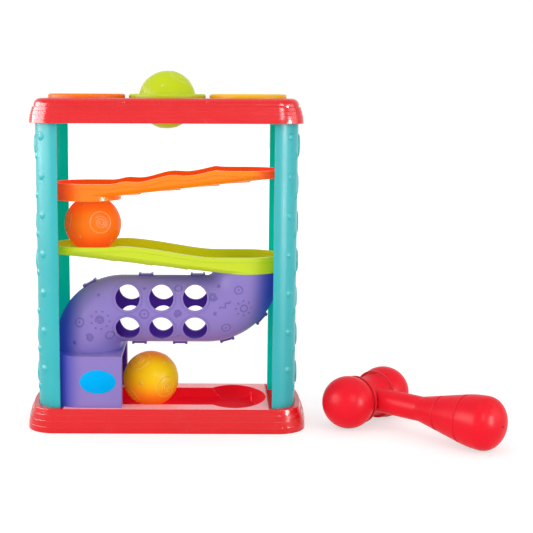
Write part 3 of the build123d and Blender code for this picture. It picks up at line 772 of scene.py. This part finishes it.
def join_rings(mesh: bmesh.types.BMesh, rings: Sequence[Ring]) -> None:
    """Adds the faces between each ring of vertices and the next one.

    Args:
        mesh: The mesh that the faces go into.
        rings: Two or more rings of as many vertices.
    """
    count = len(rings[0])
    for near, far in zip(rings, rings[1:]):
        for k in range(count):
            after = (k + 1) % count
            mesh.faces.new((near[k], near[after], far[after], far[k]))


@dataclass
class Relief:
    """Raised lines and dots cast on a surface, gathered in one mesh."""

    line_width: float = 1.2 * MM
    line_height: float = 0.35 * MM
    line_end_share: float = 0.35
    dot_radius: float = 1.0 * MM
    dot_profile: tuple[Place, ...] = ((0.85, 0.5), (0.45, 0.95))
    sunk: float = 0.12 * MM
    section_steps: int = 4
    dot_steps: int = 12
    mesh: bmesh.types.BMesh = field(default_factory=bmesh.new)

    def add_line(self, surface: Surface, points: Sequence[Place], closed: bool) -> None:
        """Adds a half-round ridge along a line.

        Args:
            surface: Gives the point and the normal for a place in the motif's plane.
            points: The line's places in that plane.
            closed: Whether the line closes on itself.
        """
        count = len(points)
        rings = []
        for index, (across, up) in enumerate(points):
            before = points[index - 1] if closed or index > 0 else points[index]
            after = points[(index + 1) % count] if closed or index < count - 1 else points[index]
            along = Vector((after[0] - before[0], after[1] - before[1])).normalized()
            at_end = not closed and index in (0, count - 1)
            share = self.line_end_share if at_end else 1.0
            ring = []
            for step in range(self.section_steps + 1):
                turn = math.pi * step / self.section_steps
                aside = share * self.line_width / 2 * math.cos(turn)
                point, normal = surface(across - along.y * aside, up + along.x * aside)
                lift = share * self.line_height * math.sin(turn) - self.sunk
                ring.append(self.mesh.verts.new(point + normal * lift))
            rings.append(ring)
        join_rings(self.mesh, rings + rings[:1] if closed else rings)
        if not closed:
            self.mesh.faces.new(rings[0][::-1])
            self.mesh.faces.new(rings[-1])

    def dot_ring(self, surface: Surface, place: Place, radius: float, lift: float) -> Ring:
        """Adds one ring of a dot's vertices.

        Args:
            surface: Gives the point and the normal for a place in the motif's plane.
            place: The dot's middle in that plane.
            radius: The ring's radius.
            lift: The ring's height over the surface.

        Returns:
            The ring's vertices.
        """
        ring = []
        for k in range(self.dot_steps):
            turn = math.tau * k / self.dot_steps
            across, up = place[0] + radius * math.cos(turn), place[1] + radius * math.sin(turn)
            point, normal = surface(across, up)
            ring.append(self.mesh.verts.new(point + normal * lift))
        return ring

    def add_dot(self, surface: Surface, place: Place, radius: float) -> None:
        """Adds a low dome with a flat underside just below the surface.

        Args:
            surface: Gives the point and the normal for a place in the motif's plane.
            place: The dot's middle in that plane.
            radius: The dot's radius.
        """
        rings = [self.dot_ring(surface, place, radius, -self.sunk)]
        for reach, rise in self.dot_profile:
            rings.append(self.dot_ring(surface, place, radius * reach, rise * self.line_height))
        join_rings(self.mesh, rings)
        point, normal = surface(*place)
        top = self.mesh.verts.new(point + normal * self.line_height)
        for k in range(self.dot_steps):
            self.mesh.faces.new((rings[-1][k], rings[-1][(k + 1) % self.dot_steps], top))
        self.mesh.faces.new(rings[0][::-1])

    def add_motif(self, surface: Surface, motif: Motif) -> None:
        """Adds a motif's line and dots.

        Args:
            surface: Gives the point and the normal for a place in the motif's plane.
            motif: The motif, whose own place isn't read.
        """
        if motif.stroke is not None:
            points, closed = motif.line()
            self.add_line(surface, points, closed)
        lone = motif.dots == 1 and motif.stroke is None
        for place in motif.spots():
            self.add_dot(surface, place, motif.size if lone else self.dot_radius)

    def finish(self, name: str, material: bpy.types.Material) -> bpy.types.Object:
        """Makes the mesh's object.

        Args:
            name: The new piece's name.
            material: Its first finish.

        Returns:
            The new object, shaded smooth.
        """
        bmesh.ops.recalc_face_normals(self.mesh, faces=self.mesh.faces)
        return object_from(self.mesh, name, material)


def object_from(
    mesh: bmesh.types.BMesh, name: str, material: bpy.types.Material
) -> bpy.types.Object:
    """Makes a smooth-shaded object of a mesh that was built in code.

    Args:
        mesh: The built mesh, which is freed.
        name: The new object's name.
        material: Its finish.

    Returns:
        The linked object.
    """
    data = bpy.data.meshes.new(name)
    for face in mesh.faces:
        face.smooth = True
    mesh.to_mesh(data)
    mesh.free()
    data.materials.append(material)
    made = bpy.data.objects.new(name, data)
    bpy.context.scene.collection.objects.link(made)
    return made


@dataclass
class Tower:
    """The red base tray and deck, the side panels and the screws that hold them."""

    effects: Effects
    base_top: float = 25 * MM
    track_floor: float = 14 * MM
    footprint_core: tuple[float, float] = (110 * MM, 25 * MM)
    footprint_round: float = 25.8 * MM
    floor_slack: float = 1.0 * MM
    top_slack: float = 0.1 * MM
    panel_axis: float = 120 * MM
    stipple_drop: float = 0.3 * MM
    stipple_reach: float = 106 * MM
    red: PlasticFinish = PlasticFinish(
        "red_satin_plastic",
        from_screen(225, 18, 26),
        from_screen(200, 6, 20),
        drift=0.2,
        edge_wear_and_highlight=0.12,
    )
    # A copy of the red for the track and dish, with painted shade, painted glow and painted
    # highlight lines on its creases.
    red_track_shade_copy: PlasticFinish = PlasticFinish(
        "red_track_painted_light",
        from_screen(236, 18, 36),
        from_screen(212, 4, 26),
        Skin.DEEP,
        recess=0.7,
        edge=0.7 * MM,
        edge_wear_and_highlight=1.5,
        painted_glow=0.6,
    )
    # Pale pink of the spark-eroded top, a painted reflection.
    stipple_sheen: Colour = from_screen(255, 166, 170)
    teal: PlasticFinish = PlasticFinish(
        "teal_satin_plastic", from_screen(58, 180, 186), from_screen(0, 150, 140), Skin.MATT, 0.15
    )
    # A copy of the teal for the channels' inner walls, brighter and greener, with painted shade and
    # painted glow.
    teal_inner_shade_copy: PlasticFinish = PlasticFinish(
        "teal_inner_wall_painted_light",
        from_screen(0, 204, 184),
        from_screen(0, 176, 156),
        Skin.DEEP,
        recess=0.7,
        recess_reach=50 * MM,
        painted_glow=0.45,
    )
    steel: SteelFinish = SteelFinish("zinc_plated_steel", (0.6, 0.6, 0.62))

    def in_recess(self, middle: Vector, normal: Vector) -> bool:
        """Whether a face of the base tray belongs to its track, dish or panel pockets.

        Args:
            middle: The face's middle.
            normal: The face's normal.

        Returns:
            Whether it looks up or aside in one of them.
        """
        aside = max(abs(middle.x) - self.footprint_core[0], 0.0)
        along = max(abs(middle.y) - self.footprint_core[1], 0.0)
        inside = math.hypot(aside, along) < self.footprint_round
        floor, top = self.track_floor - self.floor_slack, self.base_top - self.top_slack
        return inside and floor < middle.z < top and normal.z > -0.5

    def in_channel(self, middle: Vector, normal: Vector) -> bool:
        """Whether a face of a side panel looks into the panel's own channel."""
        aside = middle.x - math.copysign(self.panel_axis, middle.x)
        return aside * normal.x + middle.y * normal.y < 0

    def dress(self) -> None:
        """Gives the tower's pieces their finishes."""
        tray = StippledFinish(
            "red_stippled_tray",
            self.red,
            self.stipple_sheen,
            self.base_top - self.stipple_drop,
            self.stipple_reach,
        )
        track = self.red_track_shade_copy.build(self.effects)
        # The track zone and the panels' channels take their painted-light copies.
        dress("base_tray", tray.build(self.effects), (track, self.in_recess))
        dress("top_deck", self.red.build(self.effects))
        teal = self.teal.build(self.effects)
        teal_inner_shade_copy = self.teal_inner_shade_copy.build(self.effects)
        for panel in ("left_side_panel", "right_side_panel"):
            dress(panel, teal, (teal_inner_shade_copy, self.in_channel))
        steel = self.steel.build(self.effects)
        for screws in ("panel_screws", "box_screws", "deck_screws"):
            dress(screws, steel)


@dataclass
class HoleRings:
    """The soft rings in the deck's holes."""

    effects: Effects
    glow: float = 0.15
    # Each pair is the ring's colour and a deeper tint, also painted as shade in its recesses.
    colours: dict[str, tuple[Colour, Colour]] = field(
        default_factory=lambda: {
            "left": (from_screen(250, 130, 28), from_screen(226, 92, 10)),
            "middle": (from_screen(196, 214, 40), from_screen(160, 182, 20)),
            "right": (from_screen(246, 200, 20), from_screen(222, 160, 8)),
        }
    )

    def dress(self) -> None:
        """Gives each ring its own elastomer."""
        for place, (colour, deep_tint_and_shade) in self.colours.items():
            soft = PlasticFinish(f"soft_{place}_ring", colour, deep_tint_and_shade, Skin.SOFT, glow=self.glow)
            dress(f"{place}_hole_ring", soft.build(self.effects))


@dataclass
class Ramps:
    """The orange upper ramp and the green lower ramp."""

    effects: Effects
    hole_pitch: float = 83.5 * MM
    floor_reach: float = 31 * MM
    wall_lean: float = 0.3
    # end_shade paints shade near the side panels, in the redder tint.
    upper: PlasticFinish = PlasticFinish(
        "orange_ramp_plastic",
        from_screen(248, 132, 12),
        from_screen(246, 64, 30),
        Skin.GLOSS,
        end_shade=0.9,
        painted_glow=0.5,
    )
    # Trough copies: deeper colours, painted shade and painted glow for the inside of each ramp.
    upper_trough_shade_copy: PlasticFinish = PlasticFinish(
        "orange_ramp_trough_painted_light",
        from_screen(246, 92, 14),
        from_screen(226, 46, 24),
        Skin.DEEP,
        recess=0.8,
        end_shade=0.7,
        painted_glow=0.7,
    )
    lower: PlasticFinish = PlasticFinish(
        "green_ramp_plastic",
        from_screen(188, 206, 38),
        from_screen(176, 188, 26),
        Skin.GLOSS,
        end_shade=0.4,
        painted_glow=0.55,
    )
    lower_trough_shade_copy: PlasticFinish = PlasticFinish(
        "green_ramp_trough_painted_light",
        from_screen(198, 204, 24),
        from_screen(182, 188, 24),
        Skin.DEEP,
        painted_glow=0.5,
    )

    def in_trough(self, middle: Vector, normal: Vector) -> bool:
        """Whether a face of a ramp looks into its trough or its drop hole.

        Args:
            middle: The face's middle.
            normal: The face's normal.

        Returns:
            Whether it is one of the walls' inner faces or the floor.
        """
        aside = middle.x - max(-self.hole_pitch, min(self.hole_pitch, middle.x))
        reach = math.hypot(aside, middle.y)
        walls = aside * normal.x + middle.y * normal.y < -self.wall_lean * reach
        floor = normal.z > 0.5 and reach < self.floor_reach
        return walls or floor

    def dress(self) -> None:
        """Gives each ramp its glossy outside, and its trough a copy with painted shade and painted
        glow.
        """
        for node, outside, trough in (
            ("upper_ramp", self.upper, self.upper_trough_shade_copy),
            ("lower_ramp", self.lower, self.lower_trough_shade_copy),
        ):
            dress(node, outside.build(self.effects), (trough.build(self.effects), self.in_trough))


@dataclass
class Tunnel:
    """The purple tunnel's two shells with their cast ornament, and the exit box with its label."""

    effects: Effects
    radius: float = 35.5 * MM
    height: float = 121 * MM
    left_bend: float = 36.5 * MM
    right_bend: float = 41.4 * MM
    left_end: float = -83.5 * MM
    right_end: float = 83.5 * MM
    clip_reach: float = 5.2 * MM
    clip_stand: float = 0.2 * MM
    ornament_height: float = 0.55 * MM
    # Its deeper tint, dark blue, is painted as shade and as the teal panels' reflection near both
    # ends.
    purple: PlasticFinish = PlasticFinish(
        "purple_satin_plastic",
        from_screen(136, 118, 182),
        from_screen(34, 50, 146),
        Skin.SHEEN,
        drift=0.12,
        recess=0.4,
        recess_reach=20 * MM,
        end_shade=0.95,
        painted_glow=0.5,
    )
    purple_relief: PlasticFinish = PlasticFinish(
        "purple_relief_lines",
        from_screen(126, 108, 174),
        from_screen(40, 50, 140),
        Skin.SHEEN,
        recess=0.3,
        end_shade=0.9,
    )
    # A copy of the purple for the bore and the box's inside, darker and more saturated as painted
    # shade, with painted glow.
    purple_inner_shade_copy: PlasticFinish = PlasticFinish(
        "purple_inner_wall_painted_light",
        from_screen(98, 54, 176),
        from_screen(72, 34, 150),
        Skin.DEEP,
        painted_glow=0.3,
    )
    purple_clip: PlasticFinish = PlasticFinish(
        "purple_clip_plastic", from_screen(88, 60, 156), from_screen(66, 40, 136), recess=0.3
    )
    label_blue: PlasticFinish = PlasticFinish(
        "blue_label_film",
        from_screen(0, 174, 242),
        from_screen(0, 150, 222),
        Skin.DEEP,
        recess=0.0,
    )
    label_middle: tuple[float, float] = (-70.5 * MM, 52.5 * MM)
    label_half: tuple[float, float] = (18.7 * MM, 12.5 * MM)
    label_face: float = -50 * MM
    label_thickness: float = 0.25 * MM
    label_profile: tuple[Place, ...] = ((1.0, -0.1), (1.0, 0.7), (0.985, 1.0))
    label_steps: int = 72
    motifs: tuple[Motif, ...] = (
        Motif(-92 * MM, -0.05, 4.2 * MM, Stroke.SPIRAL, turn=0.6),
        Motif(-84 * MM, 0.42, 4.6 * MM, Stroke.RING, 1),
        Motif(-70 * MM, 0.02, 9.5 * MM, None, 9),
        Motif(-70 * MM, 0.02, 4.8 * MM, Stroke.SPIRAL, turn=2.1),
        Motif(-74 * MM, -0.55, 4.6 * MM, Stroke.RING),
        Motif(-62 * MM, 0.72, 2.0 * MM, None, 1),
        Motif(-100 * MM, 0.35, 2.2 * MM, None, 1),
        Motif(-23 * MM, 0.0, 4.4 * MM, Stroke.RING, 1),
        Motif(12 * MM, 0.02, 4.2 * MM, Stroke.SPIRAL, turn=3.6),
        Motif(-23 * MM, 0.78, 1.8 * MM, None, 1),
        Motif(12 * MM, 0.8, 3.6 * MM, Stroke.RING),
        Motif(12 * MM, -0.78, 1.8 * MM, None, 1),
        Motif(52 * MM, 0.5, 5.0 * MM, Stroke.SPIRAL, turn=5.0),
        Motif(50 * MM, 0.0, 2.0 * MM, None, 1),
        Motif(64 * MM, 0.12, 7.0 * MM, Stroke.WAVE, turn=0.2),
        Motif(56 * MM, -0.55, 4.6 * MM, Stroke.RING, 1),
        Motif(76 * MM, -0.3, 8.0 * MM, None, 8),
        Motif(76 * MM, -0.3, 3.6 * MM, Stroke.RING),
        Motif(88 * MM, 0.15, 4.0 * MM, Stroke.RING, 1),
        Motif(72 * MM, 0.72, 2.0 * MM, None, 1),
    )

    @property
    def right_start(self) -> float:
        """Where the middle line turns up, at the right."""
        return self.right_end - self.right_bend

    @property
    def left_start(self) -> float:
        """Where the middle line turns down, at the left."""
        return self.left_end + self.left_bend

    def route(self, run: float) -> tuple[Vector, Vector, float]:
        """A point of the tunnel's middle line.

        Args:
            run: The distance along the line, from 0 in the middle of the bench, to the right.

        Returns:
            The point, the way up from the line, and the bend's radius, which is below 0 where the
            line turns up, and 0 where it is straight.
        """
        if run > self.right_start:
            turn = min((run - self.right_start) / self.right_bend, math.pi / 2)
            middle = Vector((self.right_start, 0, self.height + self.right_bend))
            out = Vector((math.sin(turn), 0, -math.cos(turn)))
            return middle + out * self.right_bend, -out, -self.right_bend
        if run < self.left_start:
            turn = min((self.left_start - run) / self.left_bend, math.pi / 2)
            middle = Vector((self.left_start, 0, self.height - self.left_bend))
            out = Vector((-math.sin(turn), 0, math.cos(turn)))
            return middle + out * self.left_bend, out, self.left_bend
        return Vector((run, 0, self.height)), Vector((0, 0, 1)), 0.0

    def surface(self, run: float, rise: float, side: int) -> Surface:
        """The tunnel's outside near a place.

        Args:
            run: The place's distance along the middle line.
            rise: Its turn round the tunnel, up from the middle of its front or rear, in radians.
            side: -1 for the front shell and 1 for the rear one.

        Returns:
            A function from a place beside it to a point and a normal.
        """

        def at(across: float, up: float) -> tuple[Vector, Vector]:
            """The point and the normal at a distance from the place."""
            turn = rise + up / self.radius
            _, _, bend = self.route(run)
            stretch = self.radius * math.sin(turn) / bend if bend else 0.0
            middle, over, _ = self.route(run + across / (1 + stretch))
            normal = over * math.sin(turn) + Vector((0, side * math.cos(turn), 0))
            return middle + normal * self.radius, normal

        return at

    def cast_ornament(self, side: int, name: str, material: bpy.types.Material) -> None:
        """Adds the raised ornament of one shell.

        Args:
            side: -1 for the front shell and 1 for the rear one.
            name: The new piece's name.
            material: Its finish.
        """
        relief = Relief(line_height=self.ornament_height)
        for motif in self.motifs:
            relief.add_motif(self.surface(motif.across, motif.up, side), motif)
        piece = relief.finish(name, material)
        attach(piece, BENCH)
        LOG.info("cast %s", name)

    def beside_axis(self, place: Vector) -> Vector:
        """The way from the tunnel's middle line, at its nearest place, to a point.

        Args:
            place: The point.

        Returns:
            The vector from the line to the point.
        """
        if place.x > self.right_start:
            radius = self.right_bend
            bend = Vector((self.right_start, 0, self.height + radius))
        elif place.z < self.height - self.left_bend:
            return Vector((place.x - self.left_end, place.y, 0))
        elif place.x < self.left_start:
            radius = self.left_bend
            bend = Vector((self.left_start, 0, self.height - radius))
        else:
            return Vector((0, place.y, place.z - self.height))
        aside = Vector((place.x, 0, place.z)) - bend
        return place - bend - aside.normalized() * radius

    def in_bore(self, middle: Vector, normal: Vector) -> bool:
        """Whether a face of a shell looks into the tunnel."""
        return self.beside_axis(middle).dot(normal) < 0

    def on_clip(self, middle: Vector, normal: Vector) -> bool:
        """Whether a face of a shell belongs to a clip on its seam."""
        outside = self.beside_axis(middle).length > self.radius + self.clip_stand
        return outside and abs(middle.y) < self.clip_reach

    def in_box(self, middle: Vector, normal: Vector) -> bool:
        """Whether a face of the exit box looks into the box."""
        return Vector((middle.x - self.left_end, middle.y, 0)).dot(normal) < 0

    def stick_label(self) -> None:
        """Adds the blank oval label on the front of the exit box."""
        mesh = bmesh.new()
        across, up = self.label_middle
        rings = []
        for shrink, stand in self.label_profile:
            ring = []
            for k in range(self.label_steps):
                turn = math.tau * k / self.label_steps
                place = (
                    across + shrink * self.label_half[0] * math.cos(turn),
                    self.label_face - stand * self.label_thickness,
                    up + shrink * self.label_half[1] * math.sin(turn),
                )
                ring.append(mesh.verts.new(place))
            rings.append(ring)
        join_rings(mesh, rings)
        mesh.faces.new(rings[-1])
        mesh.faces.new(rings[0][::-1])
        bmesh.ops.recalc_face_normals(mesh, faces=mesh.faces)
        piece = object_from(mesh, "blank_oval_label", self.label_blue.build(self.effects))
        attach(piece, BENCH)
        LOG.info("stuck on the label")

    def dress(self) -> None:
        """Gives the tunnel and the exit box their finish, ornament and label."""
        purple = self.purple.build(self.effects)
        # The bore and the box's inside take the painted-shade copy.
        deep_tint_and_shade = self.purple_inner_shade_copy.build(self.effects)
        clip = self.purple_clip.build(self.effects)
        for node in ("tunnel_front_shell", "tunnel_rear_shell"):
            dress(node, purple, (clip, self.on_clip), (deep_tint_and_shade, self.in_bore))
        dress("exit_box", purple, (deep_tint_and_shade, self.in_box))
        relief = self.purple_relief.build(self.effects)
        self.cast_ornament(-1, "tunnel_front_ornament", relief)
        self.cast_ornament(1, "tunnel_rear_ornament", relief)
        self.stick_label()


@dataclass
class Ball:
    """A hollow ball with raised rings, spirals and dots."""

    effects: Effects
    node: str
    slot: str
    finish: PlasticFinish
    ridge_wear_and_highlight_finish: PlasticFinish
    turn: tuple[float, float, float]
    skin: float = 0.5 * MM
    finer: int = 6
    line_width: float = 1.3 * MM
    line_share: float = 0.95
    dot_radius: float = 1.1 * MM
    corner_dot: Motif = Motif(0, 0, 1.8 * MM, None, 1)

    def motifs(self, index: int) -> tuple[Motif, ...]:
        """The ornament on one of the ball's six sides.

        Args:
            index: The side's number.

        Returns:
            A ring round a spiral, or round a small ring with dots.
        """
        ring = Motif(0, 0, 11.5 * MM, Stroke.RING)
        if index % 2 == 0:
            return ring, Motif(0, 0, 7.2 * MM, Stroke.SPIRAL, turn=index)
        return ring, Motif(0, 0, 6.2 * MM, None, 7, turn=index), Motif(0, 0, 2.6 * MM, Stroke.RING)

    def surface(self, centre: Vector, radius: float, way: Vector) -> Surface:
        """The ball's outside near a place.

        Args:
            centre: The ball's centre.
            radius: The ball's radius, without its ornament.
            way: The direction from the centre to the place.

        Returns:
            A function from a place beside it to a point and a normal.
        """
        east = way.orthogonal().normalized()
        north = way.cross(east)

        def at(across: float, up: float) -> tuple[Vector, Vector]:
            """The point and the normal at a distance from the place."""
            reach = math.hypot(across, up)
            if reach == 0:
                return centre + way * radius, way
            aside = (east * across + north * up) / reach
            normal = way * math.cos(reach / radius) + aside * math.sin(reach / radius)
            return centre + normal * radius, normal

        return at

    def build(self) -> None:
        """Builds the ball in place of its CAD node."""
        low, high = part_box(self.node)
        centre = (low + high) / 2
        radius = (high.z - low.z) / 2 - self.skin
        relief = Relief(self.line_width, self.skin * self.line_share, dot_radius=self.dot_radius)
        bmesh.ops.create_icosphere(
            relief.mesh, subdivisions=self.finer, radius=radius, matrix=Matrix.Translation(centre)
        )
        plain_faces = len(relief.mesh.faces)
        tilt = Matrix.Identity(3)
        for turn, axis in zip(self.turn, "XYZ"):
            tilt = tilt @ Matrix.Rotation(turn, 3, axis)
        for index, way in enumerate(AXIS_WAYS):
            place = self.surface(centre, radius, tilt @ Vector(way))
            for motif in self.motifs(index):
                relief.add_motif(place, motif)
        for corner in CORNER_WAYS:
            way = (tilt @ Vector(corner)).normalized()
            relief.add_motif(self.surface(centre, radius, way), self.corner_dot)
        # Ridge faces take the lighter finish: worn ridges, and a painted highlight on them.
        for index, face in enumerate(relief.mesh.faces):
            face.material_index = int(index >= plain_faces)
        piece = relief.finish(f"{self.node}_cast", self.finish.build(self.effects))
        piece.data.materials.append(self.ridge_wear_and_highlight_finish.build(self.effects))
        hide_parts(self.node)
        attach(piece, self.node)
        LOG.info("built %s", piece.name)


def three_balls(effects: Effects) -> tuple[Ball, ...]:
    """The green, orange and yellow balls.

    Args:
        effects: The shared effects.

    Returns:
        The balls, not yet built.
    """
    # Each ball's recess mask, with a long reach, paints shade on its shaded side in a deeper tint,
    # and painted_glow lifts it.
    green = PlasticFinish(
        "green_ball_plastic",
        from_screen(182, 202, 28),
        from_screen(182, 176, 36),
        Skin.SHEEN,
        recess_reach=30 * MM,
        painted_glow=0.5,
    )
    # Lighter ridge colours: worn ridges, and a painted highlight where they catch light.
    green_ridge_wear_and_highlight = PlasticFinish(
        "green_ball_ridges_worn_and_highlit", from_screen(206, 220, 70), from_screen(180, 190, 40), Skin.MATT
    )
    orange = PlasticFinish(
        "orange_ball_plastic",
        from_screen(248, 122, 18),
        from_screen(240, 78, 28),
        Skin.SHEEN,
        recess=0.8,
        recess_reach=40 * MM,
        painted_glow=0.5,
    )
    orange_ridge_wear_and_highlight = PlasticFinish(
        "orange_ball_ridges_worn_and_highlit", from_screen(250, 152, 64), from_screen(244, 110, 40), Skin.MATT
    )
    yellow = PlasticFinish(
        "yellow_ball_plastic",
        from_screen(238, 196, 12),
        from_screen(230, 110, 30),
        Skin.SHEEN,
        recess=0.85,
        recess_reach=40 * MM,
        painted_glow=0.35,
    )
    yellow_ridge_wear_and_highlight = PlasticFinish(
        "yellow_ball_ridges_worn_and_highlit", from_screen(244, 204, 40), from_screen(234, 130, 30), Skin.MATT
    )
    return (
        Ball(effects, "green_ball", "ball_green", green, green_ridge_wear_and_highlight, (0.3, 0.5, 0.2)),
        Ball(effects, "orange_ball", "ball_orange", orange, orange_ridge_wear_and_highlight, (-0.2, 0.1, 0.38)),
        Ball(effects, "yellow_ball", "ball_yellow", yellow, yellow_ridge_wear_and_highlight, (0.5, -0.4, 0.7)),
    )


@dataclass
class Mallet:
    """The glossy red mallet."""

    effects: Effects
    # A recess mask with a short reach paints shade into the mallet's grooves.
    red: PlasticFinish = PlasticFinish(
        "red_mallet_plastic",
        from_screen(240, 30, 46),
        from_screen(184, 6, 26),
        Skin.SHEEN,
        drift=0.12,
        recess=0.9,
        recess_reach=4 * MM,
        edge_wear_and_highlight=0.2,
    )

    def dress(self) -> None:
        """Gives the mallet its finish."""
        dress("mallet", self.red.build(self.effects))


class LampUse(Enum):
    """What a lamp is for: plain light, shine in reflections, or both."""

    FILL = (True, False)
    SHINE = (False, True)
    BOTH = (True, True)


@dataclass
class Lamp:
    """A soft square or strip lamp that points at the bench."""

    name: str
    place: Vector
    aim: Vector
    width: float
    height: float
    power: float
    use: LampUse = LampUse.BOTH

    def build(self) -> None:
        """Adds the lamp."""
        data = bpy.data.lights.new(self.name, "AREA")
        data.shape = "RECTANGLE"
        data.size, data.size_y = self.width, self.height
        data.energy = self.power
        lamp = bpy.data.objects.new(self.name, data)
        lamp.location = self.place
        lamp.rotation_euler = (self.aim - self.place).to_track_quat("-Z", "Y").to_euler()
        lamp.visible_diffuse, lamp.visible_glossy = self.use.value
        bpy.context.scene.collection.objects.link(lamp)


@dataclass
class Studio:
    """The pale floor, the white surround, the soft lamps and the camera."""

    floor_radius: float = 6.0
    floor_sides: int = 96
    floor_level: float = -0.1 * MM
    floor_tone: float = 0.93
    floor_white: float = 1.3
    white_span: Span = (0.45, 1.1)
    near_white: float = 0.45
    camera_place: tuple[float, float, float] = (0.041, -1.235, 0.350)
    camera_pitch: float = math.radians(8.5)
    camera_roll: float = math.radians(0.22)
    focal_pixels: float = 1180.0
    principal: tuple[float, float] = (206.3, 266.8)
    sensor: float = 36.0
    clip: Span = (0.05, 50.0)
    ambient: float = 0.84

    def lay_floor(self) -> None:
        """Adds the floor, which keeps the bench's shadow and turns white far away."""
        mesh = bmesh.new()
        bmesh.ops.create_circle(
            mesh, cap_ends=True, segments=self.floor_sides, radius=self.floor_radius
        )
        material, graph, shader = plain_material("pale_floor")
        shader.inputs["Base Color"].default_value = (*(self.floor_tone,) * 3, 1)
        shader.inputs["Roughness"].default_value = 0.9
        shader.inputs["Specular IOR Level"].default_value = 0.0
        white = graph.node("Emission")
        white.inputs["Color"].default_value = (1, 1, 1, 1)
        white.inputs["Strength"].default_value = self.floor_white
        rays = graph.node("LightPath").outputs
        seen = graph.maths("MAXIMUM", rays["Is Camera Ray"], rays["Is Glossy Ray"])
        reach = graph.node("VectorMath", operation="LENGTH")
        graph.feed(reach.inputs[0], graph.object_place())
        far = graph.ramp(reach.outputs["Value"], self.white_span)
        cover = graph.maths("MULTIPLY_ADD", far, 1 - self.near_white, self.near_white)
        mix = graph.node("MixShader")
        graph.feed(mix.inputs[0], graph.maths("MULTIPLY", seen, cover))
        graph.feed(mix.inputs[1], shader.outputs[0])
        graph.feed(mix.inputs[2], white.outputs[0])
        graph.feed(material.node_tree.nodes["Material Output"].inputs["Surface"], mix.outputs[0])
        floor = object_from(mesh, "floor", material)
        floor.location.z = self.floor_level

    def light_surround(self) -> None:
        """Makes the world white to the eye and in reflections, and a soft fill otherwise."""
        world = bpy.data.worlds.new("white_surround")
        bpy.context.scene.world = world
        world.use_nodes = True
        graph = Graph(world.node_tree)
        background = world.node_tree.nodes["Background"]
        background.inputs["Color"].default_value = (1, 1, 1, 1)
        rays = graph.node("LightPath").outputs
        seen = graph.maths("MAXIMUM", rays["Is Camera Ray"], rays["Is Glossy Ray"])
        seen = graph.maths("MAXIMUM", seen, rays["Is Transmission Ray"])
        strength = graph.maths("MULTIPLY_ADD", seen, 1.0 - self.ambient, self.ambient)
        graph.feed(background.inputs["Strength"], strength)

    def hang_lamps(self) -> None:
        """Adds the soft lamps."""
        middle = Vector((0.02, 0.0, 0.18))
        low = Vector((0.02, 0.0, 0.2))
        lamps = (
            Lamp("front_softbox", Vector((-0.4, -1.9, 0.4)), middle, 1.4, 1.2, 7.5, LampUse.FILL),
            Lamp("left_fill", Vector((-1.3, -0.7, 0.6)), middle, 0.8, 1.1, 4.5, LampUse.FILL),
            Lamp("right_fill", Vector((1.3, -1.0, 0.5)), middle, 0.8, 1.1, 3.0, LampUse.FILL),
            Lamp("top_softbox", Vector((0.05, 0.0, 1.5)), middle, 1.0, 0.8, 1.0),
            Lamp("left_shine", Vector((-1.17, -0.2, 0.52)), low, 1.6, 0.75, 62.0, LampUse.SHINE),
            Lamp("deck_strip", Vector((0.54, -1.3, 0.8)), low, 0.2, 0.6, 11.0, LampUse.SHINE),
            Lamp("base_strip", Vector((1.16, -0.86, 0.26)), low, 0.2, 0.46, 28.0, LampUse.SHINE),
            Lamp("right_shine", Vector((1.32, -0.35, 0.45)), low, 0.7, 0.8, 8.0, LampUse.SHINE),
        )
        for lamp in lamps:
            lamp.build()

    def set_camera(self) -> None:
        """Adds the camera at the photograph's place."""
        data = bpy.data.cameras.new("camera")
        data.sensor_width = self.sensor
        data.lens = self.focal_pixels / PHOTO_PIXELS * self.sensor
        data.shift_x = (PHOTO_PIXELS / 2 - self.principal[0]) / PHOTO_PIXELS
        data.shift_y = (self.principal[1] - PHOTO_PIXELS / 2) / PHOTO_PIXELS
        data.clip_start, data.clip_end = self.clip
        camera = bpy.data.objects.new("camera", data)
        camera.location = self.camera_place
        tilt = Matrix.Rotation(math.pi / 2 - self.camera_pitch, 4, "X")
        camera.rotation_euler = (tilt @ Matrix.Rotation(self.camera_roll, 4, "Z")).to_euler()
        bpy.context.scene.collection.objects.link(camera)
        bpy.context.scene.camera = camera

    def build(self) -> None:
        """Sets up the whole studio."""
        self.lay_floor()
        self.light_surround()
        self.hang_lamps()
        self.set_camera()
        bpy.context.scene.view_settings.view_transform = "Standard"
        LOG.info("set up the studio")


def main() -> None:
    """Builds the studio and dresses each sub-assembly in turn."""
    logging.basicConfig(level=logging.INFO, format="%(name)s: %(message)s")
    Studio().build()
    effects = Effects()
    for kind in (Tower, HoleRings, Ramps, Tunnel, Mallet):
        kind(effects).dress()
    for ball in three_balls(effects):
        ball.build()


if __name__ == "__main__":
    main()
